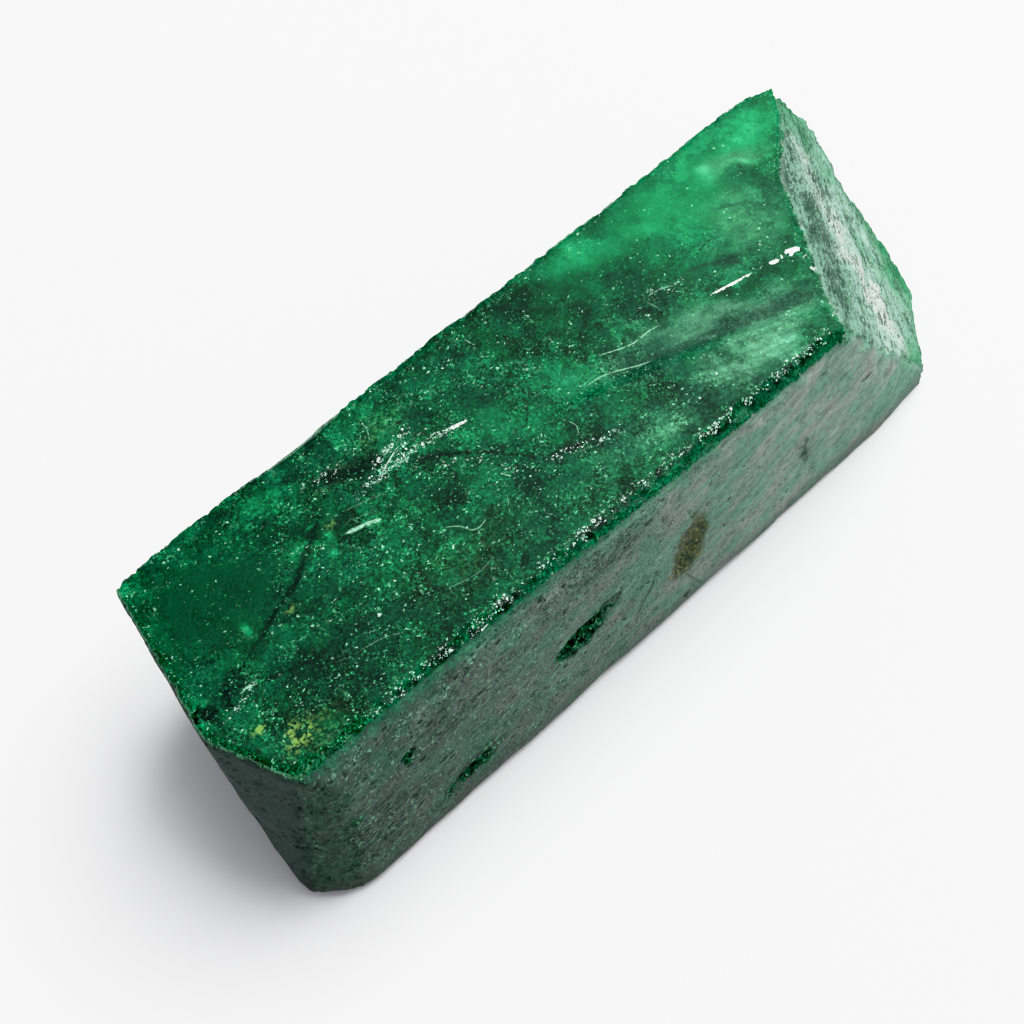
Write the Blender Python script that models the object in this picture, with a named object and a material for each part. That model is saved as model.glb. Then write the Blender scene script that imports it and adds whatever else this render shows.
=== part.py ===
"""Raw emerald crystal: one cleaved block of beryl, lying on its flat underside.

The block is a convex solid between cleavage planes. A fine skin is laid over it, and that skin is moved in or
out to give the swells, the growth lines, the stepped groove and the splintered end. Scoops then take out the
cavities and the chipped edges, and the skin is thinned to large flat facets where the stone is flat.
Lengths are in millimetres until the last step, which scales them to metres. +X runs along the block to its
splintered end, +Y to its back, and the origin is under the middle of its bounding box.
"""

import math
import random

import bmesh
import bpy
from mathutils import Matrix, Vector, noise
from mathutils.kdtree import KDTree

MM = 0.001
SEED = 41

# Driving dimensions, in millimetres.
HEIGHT = 16.1
WIDEST = 100.0
TOP_FRONT_Y = -8.35
TOP_BACK_Y = 11.4
FOOT_FRONT_Y = -11.1
BUTT_TIP_X = -35.0
SPLINTER_TOP_X = 18.5
SPLINTER_FAR_X = 36.1

# Each cleavage plane: a point on it, then the compass heading and the upward tilt that it faces, in degrees.
# Heading 0 is +X and heading 90 is +Y.
PLANES = {
    "top": ((0.0, 0.0, HEIGHT), 0.0, 90.0),
    "front": ((-10.0, FOOT_FRONT_Y, 0.0), -89.5, 5.6),
    "front_foot": ((13.0, -10.9, 0.0), -88.2, 3.2),
    "front_bevel": ((-10.0, TOP_FRONT_Y, HEIGHT), -91.0, 44.0),
    "front_shoulder": ((20.0, -10.3, 7.4), -84.8, 5.6),
    "butt_face": ((BUTT_TIP_X, -1.7, HEIGHT), -159.3, 4.4),
    "butt_undercut": ((BUTT_TIP_X, -1.7, HEIGHT), 166.9, -9.9),
    "butt_heel": ((-32.3, 10.3, HEIGHT), 160.2, -17.2),
    "butt_near_corner": ((-31.6, -9.0, HEIGHT), -128.7, 4.4),
    "butt_far_corner": ((-31.7, 11.2, HEIGHT), 135.0, 0.0),
    "splintered_slope": ((SPLINTER_TOP_X, -8.9, HEIGHT), -35.4, 33.6),
    "splintered_end": ((SPLINTER_FAR_X, 1.0, 4.5), 7.0, -3.0),
    "splintered_foot": ((29.0, -10.5, 0.0), -42.0, 3.0),
    "splintered_far_corner": ((31.1, 11.3, HEIGHT), 45.0, 10.0),
    "back": ((0.0, TOP_BACK_Y, HEIGHT), 90.0, -4.0),
    "back_heel": ((0.0, 10.0, 3.4), 92.0, -38.0),
}
GROUND = (Vector(), Vector((0.0, 0.0, -1.0)))

# How far the broad swells, the fine lumps and the growth lines along X move each kind of face.
FINISHES = {
    "top": (0.05, 0.02, 0.0),
    "front": (0.17, 0.07, 0.13),
    "butt": (0.15, 0.09, 0.0),
    "splintered": (0.25, 0.16, 0.0),
    "back": (0.30, 0.12, 0.22),
}
SWELL_SIZE = 9.0
LUMP_SIZE = 2.4
LINE_LENGTH = 13.0
LINE_SPACING = 1.5
LINE_LEAN = 0.12
LINE_CREST = 0.3
FACE_BLEND = 0.8
FOOT_FADE = 1.2

# The splintered end breaks into ledges and blades that run across it, parallel to its top edge.
LEDGE_DEPTH = 0.28
BLADE_DEPTH = 0.34
SPLINTER_LENGTH = 5.0
SPLINTER_SPACING = 1.2
SPLINTER_REACH = 1.6

# The stepped groove across the top: its line in plan, how much of it opens slowly, and its section.
GROOVE_LINE = [(-2.0, 1.5), (3.0, 0.3), (8.0, -1.2), (13.2, -3.2), (19.5, -6.0)]
GROOVE_OPENING = 8.0
GROOVE_DEPTH = 0.45
GROOVE_BACK_WIDTH = 2.3
GROOVE_FRONT_WIDTH = 0.8

# Hand-placed scoops: centre, direction faced (heading, tilt), direction of the length (heading, tilt), half
# length, half width, depth. First the front's cavities and hollows, then its top edge, then the splintered
# end, then the butt end's corners and the back's top edge.
SCOOPS = [
    ((-8.7, -10.2, 8.0), (-90, 6), (0, 6), 3.1, 0.9, 0.95),
    ((-20.2, -10.7, 3.4), (-90, 6), (0, 16), 2.4, 0.75, 0.8),
    ((-25.2, -9.9, 11.6), (-90, 6), (0, 35), 1.1, 0.5, 0.55),
    ((1.9, -10.3, 7.1), (-90, 6), (0, 54), 3.3, 1.0, 0.45),
    ((-3.9, -10.3, 7.0), (-90, 6), (0, 50), 2.6, 0.35, 0.35),
    ((-24.5, -10.9, 5.8), (-90, 6), (0, 25), 3.8, 1.6, 0.35),
    ((11.0, -10.8, 4.6), (-90, 6), (0, 12), 5.5, 2.3, 0.35),
    ((-6.0, -11.1, 2.4), (-90, 6), (0, 8), 7.5, 1.5, 0.4),
    ((-24.2, -9.4, 14.4), (-91, 44), (0, 12), 4.6, 0.8, 0.35),
    ((-16.0, -9.5, 14.9), (-91, 44), (0, 6), 3.2, 0.7, 0.4),
    ((27.0, 4.6, 16.1), (-35, 60), (54, 0), 8.0, 2.5, 0.75),
    ((24.4, -2.8, 12.0), (-35, 34), (54, 0), 3.0, 1.1, 0.7),
    ((27.5, -5.4, 7.4), (-35, 34), (54, 0), 4.2, 1.0, 0.6),
    ((31.6, 5.6, 9.9), (-35, 34), (54, 0), 5.0, 1.2, 0.55),
    ((33.8, -6.4, 1.8), (-22, 8), (54, 20), 2.8, 1.2, 0.9),
    ((-33.6, -7.4, 10.6), (-146, 5), (0, 84), 4.2, 0.9, 0.4),
    ((-32.9, -9.6, 5.0), (-129, 6), (0, 84), 3.4, 0.8, 0.35),
    ((-16.0, 11.2, 16.1), (90, 40), (0, 0), 4.6, 1.6, 0.5),
    ((14.0, 11.2, 16.1), (90, 40), (0, 0), 3.2, 1.4, 0.3),
]

# Chips along the block's edges, which have the rounded bowls and ragged rims of every scoop.
CHIP_SPACING = 2.3
CHIP_HALF_LENGTH = (0.5, 2.0)
CHIP_WIDTH_TO_LENGTH = 1.6
CHIP_DEPTH = 0.12
CHIP_DEPTH_TO_LENGTH = (0.06, 0.21)
CHIP_ANGLE = 18.0
BOWL_ROUNDNESS = 0.7
RIM_RAGGEDNESS = 0.35
RIM_SIZE = 0.9

SKIN_CELL = 0.3
SKIN_ROUNDING = 2
UNDERSIDE_SKIN = 0.1
FACET_SHARE = 0.062
SMOOTH_ANGLE = 20.0
DEEP_GREEN = (0.022, 0.150, 0.075, 1.0)


def facing(heading, tilt):
    """The unit vector at a compass heading and an upward tilt, both in degrees."""
    h, t = math.radians(heading), math.radians(tilt)
    return Vector((math.cos(h) * math.cos(t), math.sin(h) * math.cos(t), math.sin(t)))


CUTS = {name: (Vector(point), facing(heading, tilt)) for name, (point, heading, tilt) in PLANES.items()}


def cleaved_block():
    """The convex block between the cleavage planes and the ground."""
    bm = bmesh.new()
    bmesh.ops.create_cube(bm, size=WIDEST)
    for point, normal in [*CUTS.values(), GROUND]:
        everything = bm.verts[:] + bm.edges[:] + bm.faces[:]
        cut = bmesh.ops.bisect_plane(bm, geom=everything, plane_co=point, plane_no=normal, clear_outer=True)
        rim = [g for g in cut["geom_cut"] if isinstance(g, bmesh.types.BMEdge)]
        bmesh.ops.edgenet_fill(bm, edges=rim)
    bmesh.ops.recalc_face_normals(bm, faces=bm.faces[:])
    return bm


def worn_edges(bm):
    """The ends of each sharp edge above the ground, with the direction that the edge faces."""
    edges = []
    for edge in bm.edges:
        start, end = (v.co.copy() for v in edge.verts)
        normals = [face.normal.copy() for face in edge.link_faces]
        if normals[0].angle(normals[1]) > math.radians(CHIP_ANGLE) and max(start.z, end.z) > FOOT_FADE:
            edges.append((start, end, (normals[0] + normals[1]).normalized()))
    return edges


def evaluated_mesh(obj):
    """The object's mesh with its modifiers applied."""
    graph = bpy.context.evaluated_depsgraph_get()
    return bpy.data.meshes.new_from_object(obj.evaluated_get(graph), depsgraph=graph)


def fine_skin(block):
    """The block's mesh laid over with small cells, which also round its edges a little."""
    cells = block.modifiers.new("skin", "REMESH")
    cells.mode = "VOXEL"
    cells.voxel_size = SKIN_CELL
    smooth = block.modifiers.new("rounding", "SMOOTH")
    smooth.iterations = SKIN_ROUNDING
    skin = evaluated_mesh(block)
    block.modifiers.clear()
    return skin


def finish_at(point):
    """The swell, lump and growth-line sizes at a point, blended between the faces that are near it."""
    total, amounts = 0.0, [0.0, 0.0, 0.0]
    for name, (on_plane, normal) in CUTS.items():
        gap = max((on_plane - point).dot(normal), 0.0)
        weight = max(0.0, 1.0 - gap / FACE_BLEND) + 1e-6
        total += weight
        for i, size in enumerate(FINISHES[name.split("_")[0]]):
            amounts[i] += weight * size
    return [amount / total for amount in amounts]


def splinters(point):
    """How far the ledges of the splintered end reach in, which is nothing on the other faces."""
    planes = [CUTS[name] for name in CUTS if name.startswith("splintered")]
    gap = min(abs((on_plane - point).dot(normal)) for on_plane, normal in planes)
    reach = max(0.0, 1.0 - gap / SPLINTER_REACH)
    down = CUTS["splintered_slope"][1]
    strike = Vector((-down.y, down.x, 0.0)).normalized()
    along = point.dot(strike) / SPLINTER_LENGTH
    across = (HEIGHT - point.z) / SPLINTER_SPACING
    ledge = (across + noise.noise(Vector((along, across / 2.0, 3.0)))) % 1.0
    blade = 1.0 - 2.0 * abs(noise.noise(Vector((along, across, 11.0))))
    return reach * (LEDGE_DEPTH * ledge + BLADE_DEPTH * max(0.0, blade) ** 2)


def groove(point):
    """How far the stepped groove sinks the top at a point."""
    if HEIGHT - point.z > FACE_BLEND:
        return 0.0
    here = point.to_2d()
    nearest, depth, passed = math.inf, 0.0, 0.0
    for start, end in zip(GROOVE_LINE, GROOVE_LINE[1:]):
        start, run = Vector(start), Vector(end) - Vector(start)
        share = min(1.0, max(0.0, (here - start).dot(run) / run.length_squared))
        offset = here - (start + run * share)
        if offset.length < nearest:
            nearest = offset.length
            is_back = offset.dot(Vector((-run.y, run.x))) > 0.0
            width = GROOVE_BACK_WIDTH if is_back else GROOVE_FRONT_WIDTH
            opening = min(1.0, (passed + share * run.length) / GROOVE_OPENING)
            depth = opening * GROOVE_DEPTH * max(0.0, 1.0 - nearest / width)
        passed += run.length
    return depth


def relief(point):
    """How far the skin at a point moves out."""
    swell, lump, lines = finish_at(point)
    leaning = (point.z + LINE_LEAN * point.x) / LINE_SPACING
    line = noise.noise(Vector((point.x / LINE_LENGTH, 0.0, leaning)))
    rise = swell * noise.noise(point / SWELL_SIZE)
    rise += lump * noise.noise(point / LUMP_SIZE)
    rise += lines * (LINE_CREST - 2.0 * abs(line))
    return rise - splinters(point) - groove(point)


def raise_relief(bm):
    """Moves the skin by its relief. The underside stays flat, and the stone's foot stays on the ground."""
    moves = []
    for vert in bm.verts:
        step = vert.normal * relief(vert.co)
        step.z *= min(1.0, vert.co.z / FOOT_FADE)
        moves.append(Vector() if vert.co.z < UNDERSIDE_SKIN else step)
    for vert, step in zip(bm.verts, moves):
        vert.co += step


def carve(bm, tree, scoop):
    """Sinks the skin inside one scoop down to the scoop's bowl."""
    centre, outward, along, half_length, half_width, depth = scoop
    across = outward.cross(along).normalized()
    along = across.cross(outward)
    farthest = (half_length**2 + half_width**2 + depth**2) ** 0.5
    for _, index, _ in tree.find_range(centre, farthest):
        vert = bm.verts[index]
        offset = vert.co - centre
        ragged = 1.0 + RIM_RAGGEDNESS * noise.noise(vert.co / RIM_SIZE)
        spread = (offset.dot(along) / half_length) ** 2 + (offset.dot(across) / half_width) ** 2
        bowl = -depth * max(0.0, 1.0 - spread * ragged) ** BOWL_ROUNDNESS
        height = offset.dot(outward)
        if bowl < 0.0 and bowl < height < 2.0 * depth and vert.co.z > SKIN_CELL:
            vert.co += outward * (bowl - height)


def edge_chips(edges):
    """Random chips along the edges, the longer ones deeper."""
    chips = []
    dice = random.Random(SEED)
    for start, end, outward in edges:
        run = end - start
        for _ in range(round(run.length / CHIP_SPACING)):
            half_length = dice.uniform(*CHIP_HALF_LENGTH)
            depth = CHIP_DEPTH + half_length * dice.uniform(*CHIP_DEPTH_TO_LENGTH)
            centre = start + run * dice.random()
            half_width = CHIP_WIDTH_TO_LENGTH * half_length
            chips.append((centre, outward, run.normalized(), half_length, half_width, depth))
    return chips


def carve_all(bm, edges):
    """The hand-placed scoops, then the chips along the edges."""
    placed = [(Vector(at), facing(*out), facing(*along), *sizes) for at, out, along, *sizes in SCOOPS]
    bm.verts.ensure_lookup_table()
    tree = KDTree(len(bm.verts))
    for i, vert in enumerate(bm.verts):
        tree.insert(vert.co, i)
    tree.balance()
    for scoop in placed + edge_chips(edges):
        carve(bm, tree, scoop)


def level_underside(verts):
    """Puts the underside exactly on the ground."""
    for vert in verts:
        if vert.co.z < UNDERSIDE_SKIN:
            vert.co.z = 0.0


def centre_on_box(bm):
    """Puts the middle of the bounding box over the origin."""
    xs = [vert.co.x for vert in bm.verts]
    ys = [vert.co.y for vert in bm.verts]
    middle = Vector(((min(xs) + max(xs)) / 2.0, (min(ys) + max(ys)) / 2.0, 0.0))
    bmesh.ops.translate(bm, vec=-middle, verts=bm.verts[:])


def beryl():
    """The stone's deep green."""
    material = bpy.data.materials.new("emerald")
    material.use_nodes = True
    shader = material.node_tree.nodes["Principled BSDF"]
    shader.inputs["Base Color"].default_value = DEEP_GREEN
    shader.inputs["Roughness"].default_value = 0.38
    shader.inputs["Metallic"].default_value = 0.0
    shader.inputs["IOR"].default_value = 1.58
    material.diffuse_color = DEEP_GREEN
    return material


def crystal():
    """The finished stone."""
    bm = cleaved_block()
    edges = worn_edges(bm)
    mesh = bpy.data.meshes.new("emerald_crystal")
    bm.to_mesh(mesh)
    bm.free()
    stone = bpy.data.objects.new("emerald_crystal", mesh)
    bpy.context.scene.collection.objects.link(stone)

    bm = bmesh.new()
    bm.from_mesh(fine_skin(stone))
    level_underside(bm.verts)
    bm.normal_update()
    raise_relief(bm)
    carve_all(bm, edges)
    level_underside(bm.verts)
    centre_on_box(bm)
    bm.to_mesh(mesh)
    bm.free()

    facets = stone.modifiers.new("facets", "DECIMATE")
    facets.ratio = FACET_SHARE
    thinned = evaluated_mesh(stone)
    stone.modifiers.clear()
    stone.data = thinned
    level_underside(thinned.vertices)
    thinned.transform(Matrix.Scale(MM, 4))
    thinned.materials.clear()
    thinned.materials.append(beryl())
    thinned.set_sharp_from_angle(angle=math.radians(SMOOTH_ANGLE))
    return stone


def main():
    for obj in list(bpy.data.objects):
        bpy.data.objects.remove(obj)
    crystal()


main()
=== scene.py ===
"""Raw emerald crystal: the finish of the stone, with its glassy window, frosted sides and splintered end.

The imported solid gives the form. A dense skin is laid over a copy of it, and every point of that skin learns how
far it lies inside each face of the stone, and how far along and across each crack and scratch. Those numbers
steer a Geometry Nodes tree for the fine relief, a second one for the bright grains, and the stone's material.
Lengths are in millimetres unless a name says otherwise, because the details are small; MM turns them to metres.
"""

import math

import bmesh
import bpy
import numpy as np
from mathutils import Matrix, Vector, noise


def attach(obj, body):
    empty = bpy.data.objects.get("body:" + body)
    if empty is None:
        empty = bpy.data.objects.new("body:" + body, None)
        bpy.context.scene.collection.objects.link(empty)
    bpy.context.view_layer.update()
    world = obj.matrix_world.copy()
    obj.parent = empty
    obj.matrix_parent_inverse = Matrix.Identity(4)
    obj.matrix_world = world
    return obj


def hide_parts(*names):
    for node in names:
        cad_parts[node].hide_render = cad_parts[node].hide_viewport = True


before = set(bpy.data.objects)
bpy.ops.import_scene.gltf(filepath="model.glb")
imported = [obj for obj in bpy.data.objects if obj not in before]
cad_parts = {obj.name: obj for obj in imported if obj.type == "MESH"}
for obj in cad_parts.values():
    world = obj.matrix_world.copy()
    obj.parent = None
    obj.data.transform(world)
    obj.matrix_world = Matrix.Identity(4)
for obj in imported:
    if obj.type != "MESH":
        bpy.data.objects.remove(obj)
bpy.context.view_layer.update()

MM = 0.001
NODE = "emerald_crystal"
TOP_Z = 16.1

# The faces of the stone: a point on each plane, and the compass heading and upward tilt that it faces.
FACES = {
    "window": [((0.0, 0.0, TOP_Z), 0.0, 90.0)],
    "front": [
        ((-10.6, -11.2, 0.0), -89.5, 5.6),
        ((12.4, -11.0, 0.0), -88.2, 3.2),
        ((-10.6, -8.5, TOP_Z), -91.0, 44.0),
        ((19.4, -10.4, 7.4), -84.8, 5.6),
    ],
    "butt": [
        ((-35.6, -1.8, TOP_Z), -159.3, 4.4),
        ((-35.6, -1.8, TOP_Z), 166.9, -9.9),
        ((-32.9, 10.2, TOP_Z), 160.2, -17.2),
        ((-32.3, 11.1, TOP_Z), 135.0, 0.0),
    ],
    "corner": [((-32.2, -9.1, TOP_Z), -128.7, 4.4)],
    "splinter": [
        ((18.2, -9.2, 16.3), -35.4, 33.6),
        ((35.9, 1.0, 4.5), 7.0, -3.0),
        ((28.7, -10.8, 0.0), -42.0, 3.0),
        ((30.8, 11.5, TOP_Z), 45.0, 10.0),
    ],
    "back": [((0.0, 11.3, TOP_Z), 90.0, -4.0), ((-0.6, 9.9, 3.4), 92.0, -38.0)],
    "under": [((0.0, 0.0, 0.0), 0.0, -90.0)],
}
STRIKE = (0.58, 0.81, 0.0)

# The stepped groove in the window, in plan, with its section.
GROOVE_LINE = [(-2.6, 1.4), (2.4, 0.2), (7.4, -1.3), (12.6, -3.3), (18.9, -6.1)]
GROOVE_DEPTH = 0.30
GROOVE_OPENING = 8.0
GROOVE_BACK_WIDTH = 2.2
GROOVE_FRONT_WIDTH = 1.3

# Soft patches: centre, half length and half width, turn in degrees, and strength. In the window they are in plan.
# The window's tone: the stone's own lighter and darker greens, with painted glow where light passes through the stone,
# rising towards the splintered end and along the far edge.
GLOW_LEVEL = 0.362
GLOW_RISE = 0.105
GLOW = [
    ((-28.5, 5.2), (5.0, 4.2), 0, -0.06),
    ((-22.0, 8.6), (4.0, 1.6), 0, 0.06),
    ((-20.6, 1.8), (6.0, 2.0), 0, 0.03),
    ((-33.6, 7.5), (0.8, 3.0), 10, 0.16),
    ((-31.8, 10.6), (1.4, 0.7), 0, 0.26),
    ((-34.4, -1.2), (0.5, 0.7), 0, 0.25),
    ((-32.2, -4.4), (1.6, 2.4), 0, -0.05),
    ((-23.0, -4.6), (9.0, 2.8), 0, -0.21),
    ((-9.0, -1.6), (7.0, 3.0), 0, -0.05),
    ((-28.0, -1.6), (3.2, 0.9), -12, -0.14),
    ((-20.0, -0.6), (3.0, 1.2), 15, 0.06),
    ((-15.6, 6.9), (2.6, 0.8), -14, -0.40),
    ((-11.2, 7.8), (1.9, 1.0), 0, 0.16),
    ((-11.0, 4.0), (2.2, 0.8), -15, -0.16),
    ((-5.6, 2.6), (3.0, 1.5), -24, 0.24),
    ((0.6, 1.5), (3.0, 1.3), -20, 0.18),
    ((-7.0, 8.6), (4.5, 1.4), 0, -0.04),
    ((2.4, 8.6), (1.4, 2.2), -20, -0.15),
    ((4.6, 7.2), (2.2, 1.0), -30, -0.09),
    ((9.5, 2.6), (4.5, 1.8), -20, -0.08),
    ((19.0, 8.8), (11.0, 2.4), 0, 0.26),
    ((8.5, 9.5), (2.6, 1.4), 0, 0.22),
    ((16.5, 6.0), (6.0, 1.6), -12, 0.16),
    ((27.5, 8.6), (3.0, 2.2), 0, 0.20),
    ((21.5, 8.2), (1.1, 0.6), 0, 0.22),
    ((24.6, 6.6), (2.6, 0.4), -20, 0.26),
    ((18.5, 2.8), (5.2, 2.4), -15, 0.18),
    ((16.6, 0.9), (1.5, 0.6), -35, -0.28),
    ((13.2, -1.9), (5.6, 0.9), -17, 0.26),
    ((3.0, -4.6), (1.2, 2.0), 15, 0.30),
    ((-1.2, -6.0), (2.0, 1.1), 0, 0.05),
    ((5.8, -4.2), (0.7, 2.2), 10, -0.16),
    ((8.6, -5.6), (2.6, 1.6), 0, 0.20),
    ((13.4, -5.8), (4.8, 2.0), -8, 0.33),
    ((17.6, -6.0), (1.4, 1.2), 0, 0.12),
    ((-10.0, -6.6), (8.0, 1.0), 0, -0.08),
    ((-2.6, -3.0), (3.4, 0.7), -22, -0.26),
    ((-28.1, 2.0), (0.35, 0.22), 30, 0.50),
    ((-20.3, 5.1), (0.35, 0.25), 0, 0.45),
    ((-21.8, 4.2), (0.70, 0.25), 40, 0.45),
    ((-20.5, 2.9), (0.45, 0.30), 20, 0.50),
    ((-22.1, 2.4), (0.35, 0.35), 0, 0.40),
    ((-19.7, 4.0), (0.40, 0.30), 0, 0.50),
    ((-14.5, -1.5), (0.50, 0.30), 0, 0.35),
    ((-12.9, 4.2), (0.25, 0.60), -30, 0.30),
]
# Where the window is calm, with less grit and fewer specks.
CALM = [
    ((-28.5, 5.2), (5.2, 4.0), 0, 1.2),
    ((-24.0, 0.6), (2.6, 1.2), 20, 0.5),
    ((-6.0, 3.4), (2.2, 1.2), -20, 0.5),
    ((5.0, 8.0), (6.0, 2.6), 0, 0.4),
    ((19.0, 8.2), (13.0, 3.4), 0, 0.95),
    ((20.0, 2.6), (5.0, 3.4), -20, 0.6),
    ((12.6, -1.6), (6.0, 1.4), -18, 0.7),
    ((13.0, -6.0), (6.0, 2.0), 0, 0.35),
]
# Milky haze in the window, with painted sheen: paler, greyer patches towards the splintered end and beside the groove.
HAZE_AND_SHEEN = [
    ((11.6, -1.9), (7.0, 1.3), -18, 1.0),
    ((12.0, -5.6), (8.5, 2.6), 0, 1.0),
    ((5.0, -0.9), (3.4, 1.0), -18, 0.6),
    ((9.5, 1.6), (4.0, 1.8), -20, 0.35),
    ((1.0, -5.0), (4.0, 2.4), 0, 0.45),
    ((21.5, 3.0), (4.0, 2.6), 0, 0.45),
    ((-8.0, -5.0), (8.0, 3.0), 0, 0.14),
    ((24.0, 7.4), (3.0, 1.2), -15, 0.45),
    ((18.0, 0.5), (4.0, 2.0), -15, 0.3),
]
WARMTH = [
    ((-11.5, 7.8), (1.9, 0.9), 0, 0.18),
    ((-30.4, -6.2), (2.2, 1.2), 0, 0.3),
    ((-19.0, 4.4), (0.4, 0.3), 0, 0.6),
    ((-25.2, 1.4), (0.4, 0.3), 0, 0.6),
    ((-32.4, -3.8), (0.50, 0.35), 0, 1.6),
    ((-31.6, -6.2), (0.40, 0.50), 0, 0.7),
    ((-16.5, 7.2), (2.0, 0.7), 0, 0.1),
    ((-14.0, -4.0), (5.0, 2.0), 0, 0.06),
]
# Yellowish rings in the window: centre, radius, half width and strength.
RINGS = [((-30.7, -5.7), 0.62, 0.24, 0.9)]
# The splintered end, in plan.
BLOTCHES = [
    ((23.3, -4.2), (1.1, 0.6), 54, 1.0),
    ((24.1, -1.3), (1.6, 0.6), 54, 0.9),
    ((20.8, -5.9), (1.2, 0.5), 54, 0.9),
    ((28.7, 3.1), (1.3, 0.5), 54, 0.9),
    ((26.6, 4.6), (2.6, 0.5), 54, 0.7),
    ((22.0, -7.6), (0.9, 0.5), 30, 0.6),
    ((21.6, -4.6), (0.8, 0.5), 54, 1.2),
    ((25.6, 1.2), (1.0, 0.4), 54, 1.0),
    ((30.8, 1.0), (1.0, 0.6), 40, 0.5),
]
STREAKS = [((27.4, -3.4), (5.6, 1.2), 88, 1.0), ((28.8, 4.2), (2.6, 0.8), 68, 0.6), ((24.6, -8.4), (1.6, 0.8), 60, 0.5)]
MINT = [
    ((33.3, -2.6), (1.8, 1.2), 50, 1.0),
    ((18.9, -9.9), (1.5, 1.1), 0, 1.3),
    ((35.4, -2.2), (1.2, 3.6), 10, 1.3),
    ((31.6, -2.4), (1.4, 2.8), 20, 0.6),
    ((26.0, -10.2), (3.0, 1.1), 10, 1.2),
    ((31.5, 7.5), (1.6, 4.5), 10, 0.9),
    ((28.6, 9.0), (0.9, 2.4), -20, 0.7),
]
# On the front the patches are in elevation: X and Z.
CAVITIES = [
    ((-9.0, 8.1), (3.0, 1.1), 10, 1.35),
    ((-20.2, 3.9), (2.8, 1.15), 8, 1.6),
    ((-25.6, 11.8), (1.0, 0.6), 40, 0.62),
    ((-6.6, 9.4), (1.4, 0.6), 20, 0.5),
    ((-30.4, 9.0), (0.7, 0.4), 20, 0.6),
    ((-31.5, 4.0), (1.0, 0.5), 20, 0.5),
]
OLIVE = [((1.7, 8.3), (1.7, 2.6), -8, 1.2), ((0.9, 5.7), (1.8, 1.6), 0, 1.1)]
SOOT = [
    ((-6.8, 13.9), (3.6, 1.2), 4, 1.1),
    ((-16.5, 12.2), (2.4, 0.8), 6, 0.7),
    ((-29.6, 8.0), (2.6, 2.0), 10, 0.8),
    ((-29.0, 4.5), (2.6, 1.6), 0, 0.6),
    ((-22.0, 11.4), (3.2, 1.2), 10, 0.7),
    ((-12.0, 12.8), (2.0, 0.8), 0, 0.5),
    ((-27.0, 6.5), (3.0, 1.6), 10, 0.6),
    ((-10.0, 3.2), (4.0, 0.8), 5, 0.4),
    ((14.0, 6.2), (0.9, 1.6), 10, 0.6),
]
TEAL = [
    ((-13.5, 10.5), (3.5, 1.2), 8, 0.7),
    ((-4.5, 9.5), (3.0, 2.2), 20, 0.8),
    ((-17.5, 6.5), (4.0, 1.4), 10, 0.6),
    ((6.5, 12.8), (5.0, 0.9), 4, 0.4),
    ((15.5, 11.5), (3.0, 1.2), -10, 0.4),
    ((24.0, 4.0), (4.0, 2.5), 0, 0.9),
    ((-2.0, 2.6), (6.0, 0.7), 0, 0.5),
    ((-30.0, 12.5), (3.0, 1.2), 10, 0.5),
]

# Lines in the window, in plan: points, half width and strength. Lines of one kind keep a millimetre apart.
CRACKS = [
    ([(-35.3, -0.3), (-34.0, -0.6), (-32.8, -0.7), (-31.4, -0.1), (-30.0, 0.6)], 0.85, 1.2),
    ([(-30.2, 0.5), (-28.4, 1.0), (-26.4, 1.8), (-24.6, 2.3), (-23.0, 3.0), (-21.5, 4.0), (-18.4, 5.9)], 0.34, 1.0),
    ([(-30.4, -1.2), (-28.8, -1.8), (-26.9, -2.3), (-24.8, -2.6)], 0.26, 0.8),
    ([(-17.6, 7.7), (-15.6, 6.9), (-12.6, 5.9)], 0.75, 1.0),
    ([(-11.4, 4.2), (-10.0, 3.4), (-8.6, 2.4), (-7.2, 1.0), (-6.0, -0.4), (-5.2, -1.2)], 0.26, 1.0),
    ([(-5.3, -1.6), (-4.4, -2.0), (-3.0, -2.5), (-1.0, -3.2), (1.4, -4.0)], 0.42, 0.9),
    ([(-2.4, 3.0), (-2.9, 2.0), (-3.9, 1.0)], 0.12, 0.8),
    ([(-5.8, 6.2), (-4.6, 4.8), (-2.8, 4.2), (0.2, 3.4)], 0.14, 0.6),
    ([(1.9, 10.4), (2.6, 8.6), (4.6, 7.0), (6.4, 5.6)], 0.20, 0.6),
    ([(2.4, 0.0), (5.6, -0.9), (8.6, -1.9), (11.6, -2.8), (14.6, -3.6), (17.2, -4.5), (20.4, -5.6)], 0.75, 0.8),
    ([(13.6, 2.6), (15.0, 2.0), (16.3, 1.2), (17.4, 0.1)], 0.30, 0.8),
    ([(9.8, -6.2), (10.2, -6.9), (10.3, -7.6)], 0.16, 0.9),
    ([(-17.0, -3.0), (-14.0, -4.2), (-9.0, -4.9)], 0.12, 0.6),
    ([(-27.0, 7.2), (-24.0, 8.4), (-20.4, 8.0)], 0.12, 0.5),
    ([(-10.4, 9.8), (-7.6, 7.4), (-6.4, 5.9)], 0.14, 0.5),
    ([(-25.5, -0.8), (-22.6, 0.2), (-19.4, -0.3), (-17.0, 0.9)], 0.13, 0.6),
    ([(-14.2, 2.6), (-12.6, 1.0), (-12.2, -0.8)], 0.12, 0.5),
    ([(8.6, 5.4), (11.4, 4.2), (14.4, 4.0), (18.6, 2.8)], 0.14, 0.5),
    ([(19.0, 5.2), (21.4, 4.0), (22.8, 2.2)], 0.20, 0.6),
    ([(-20.6, -6.4), (-18.2, -5.8), (-15.4, -6.6)], 0.16, 0.6),
]
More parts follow.
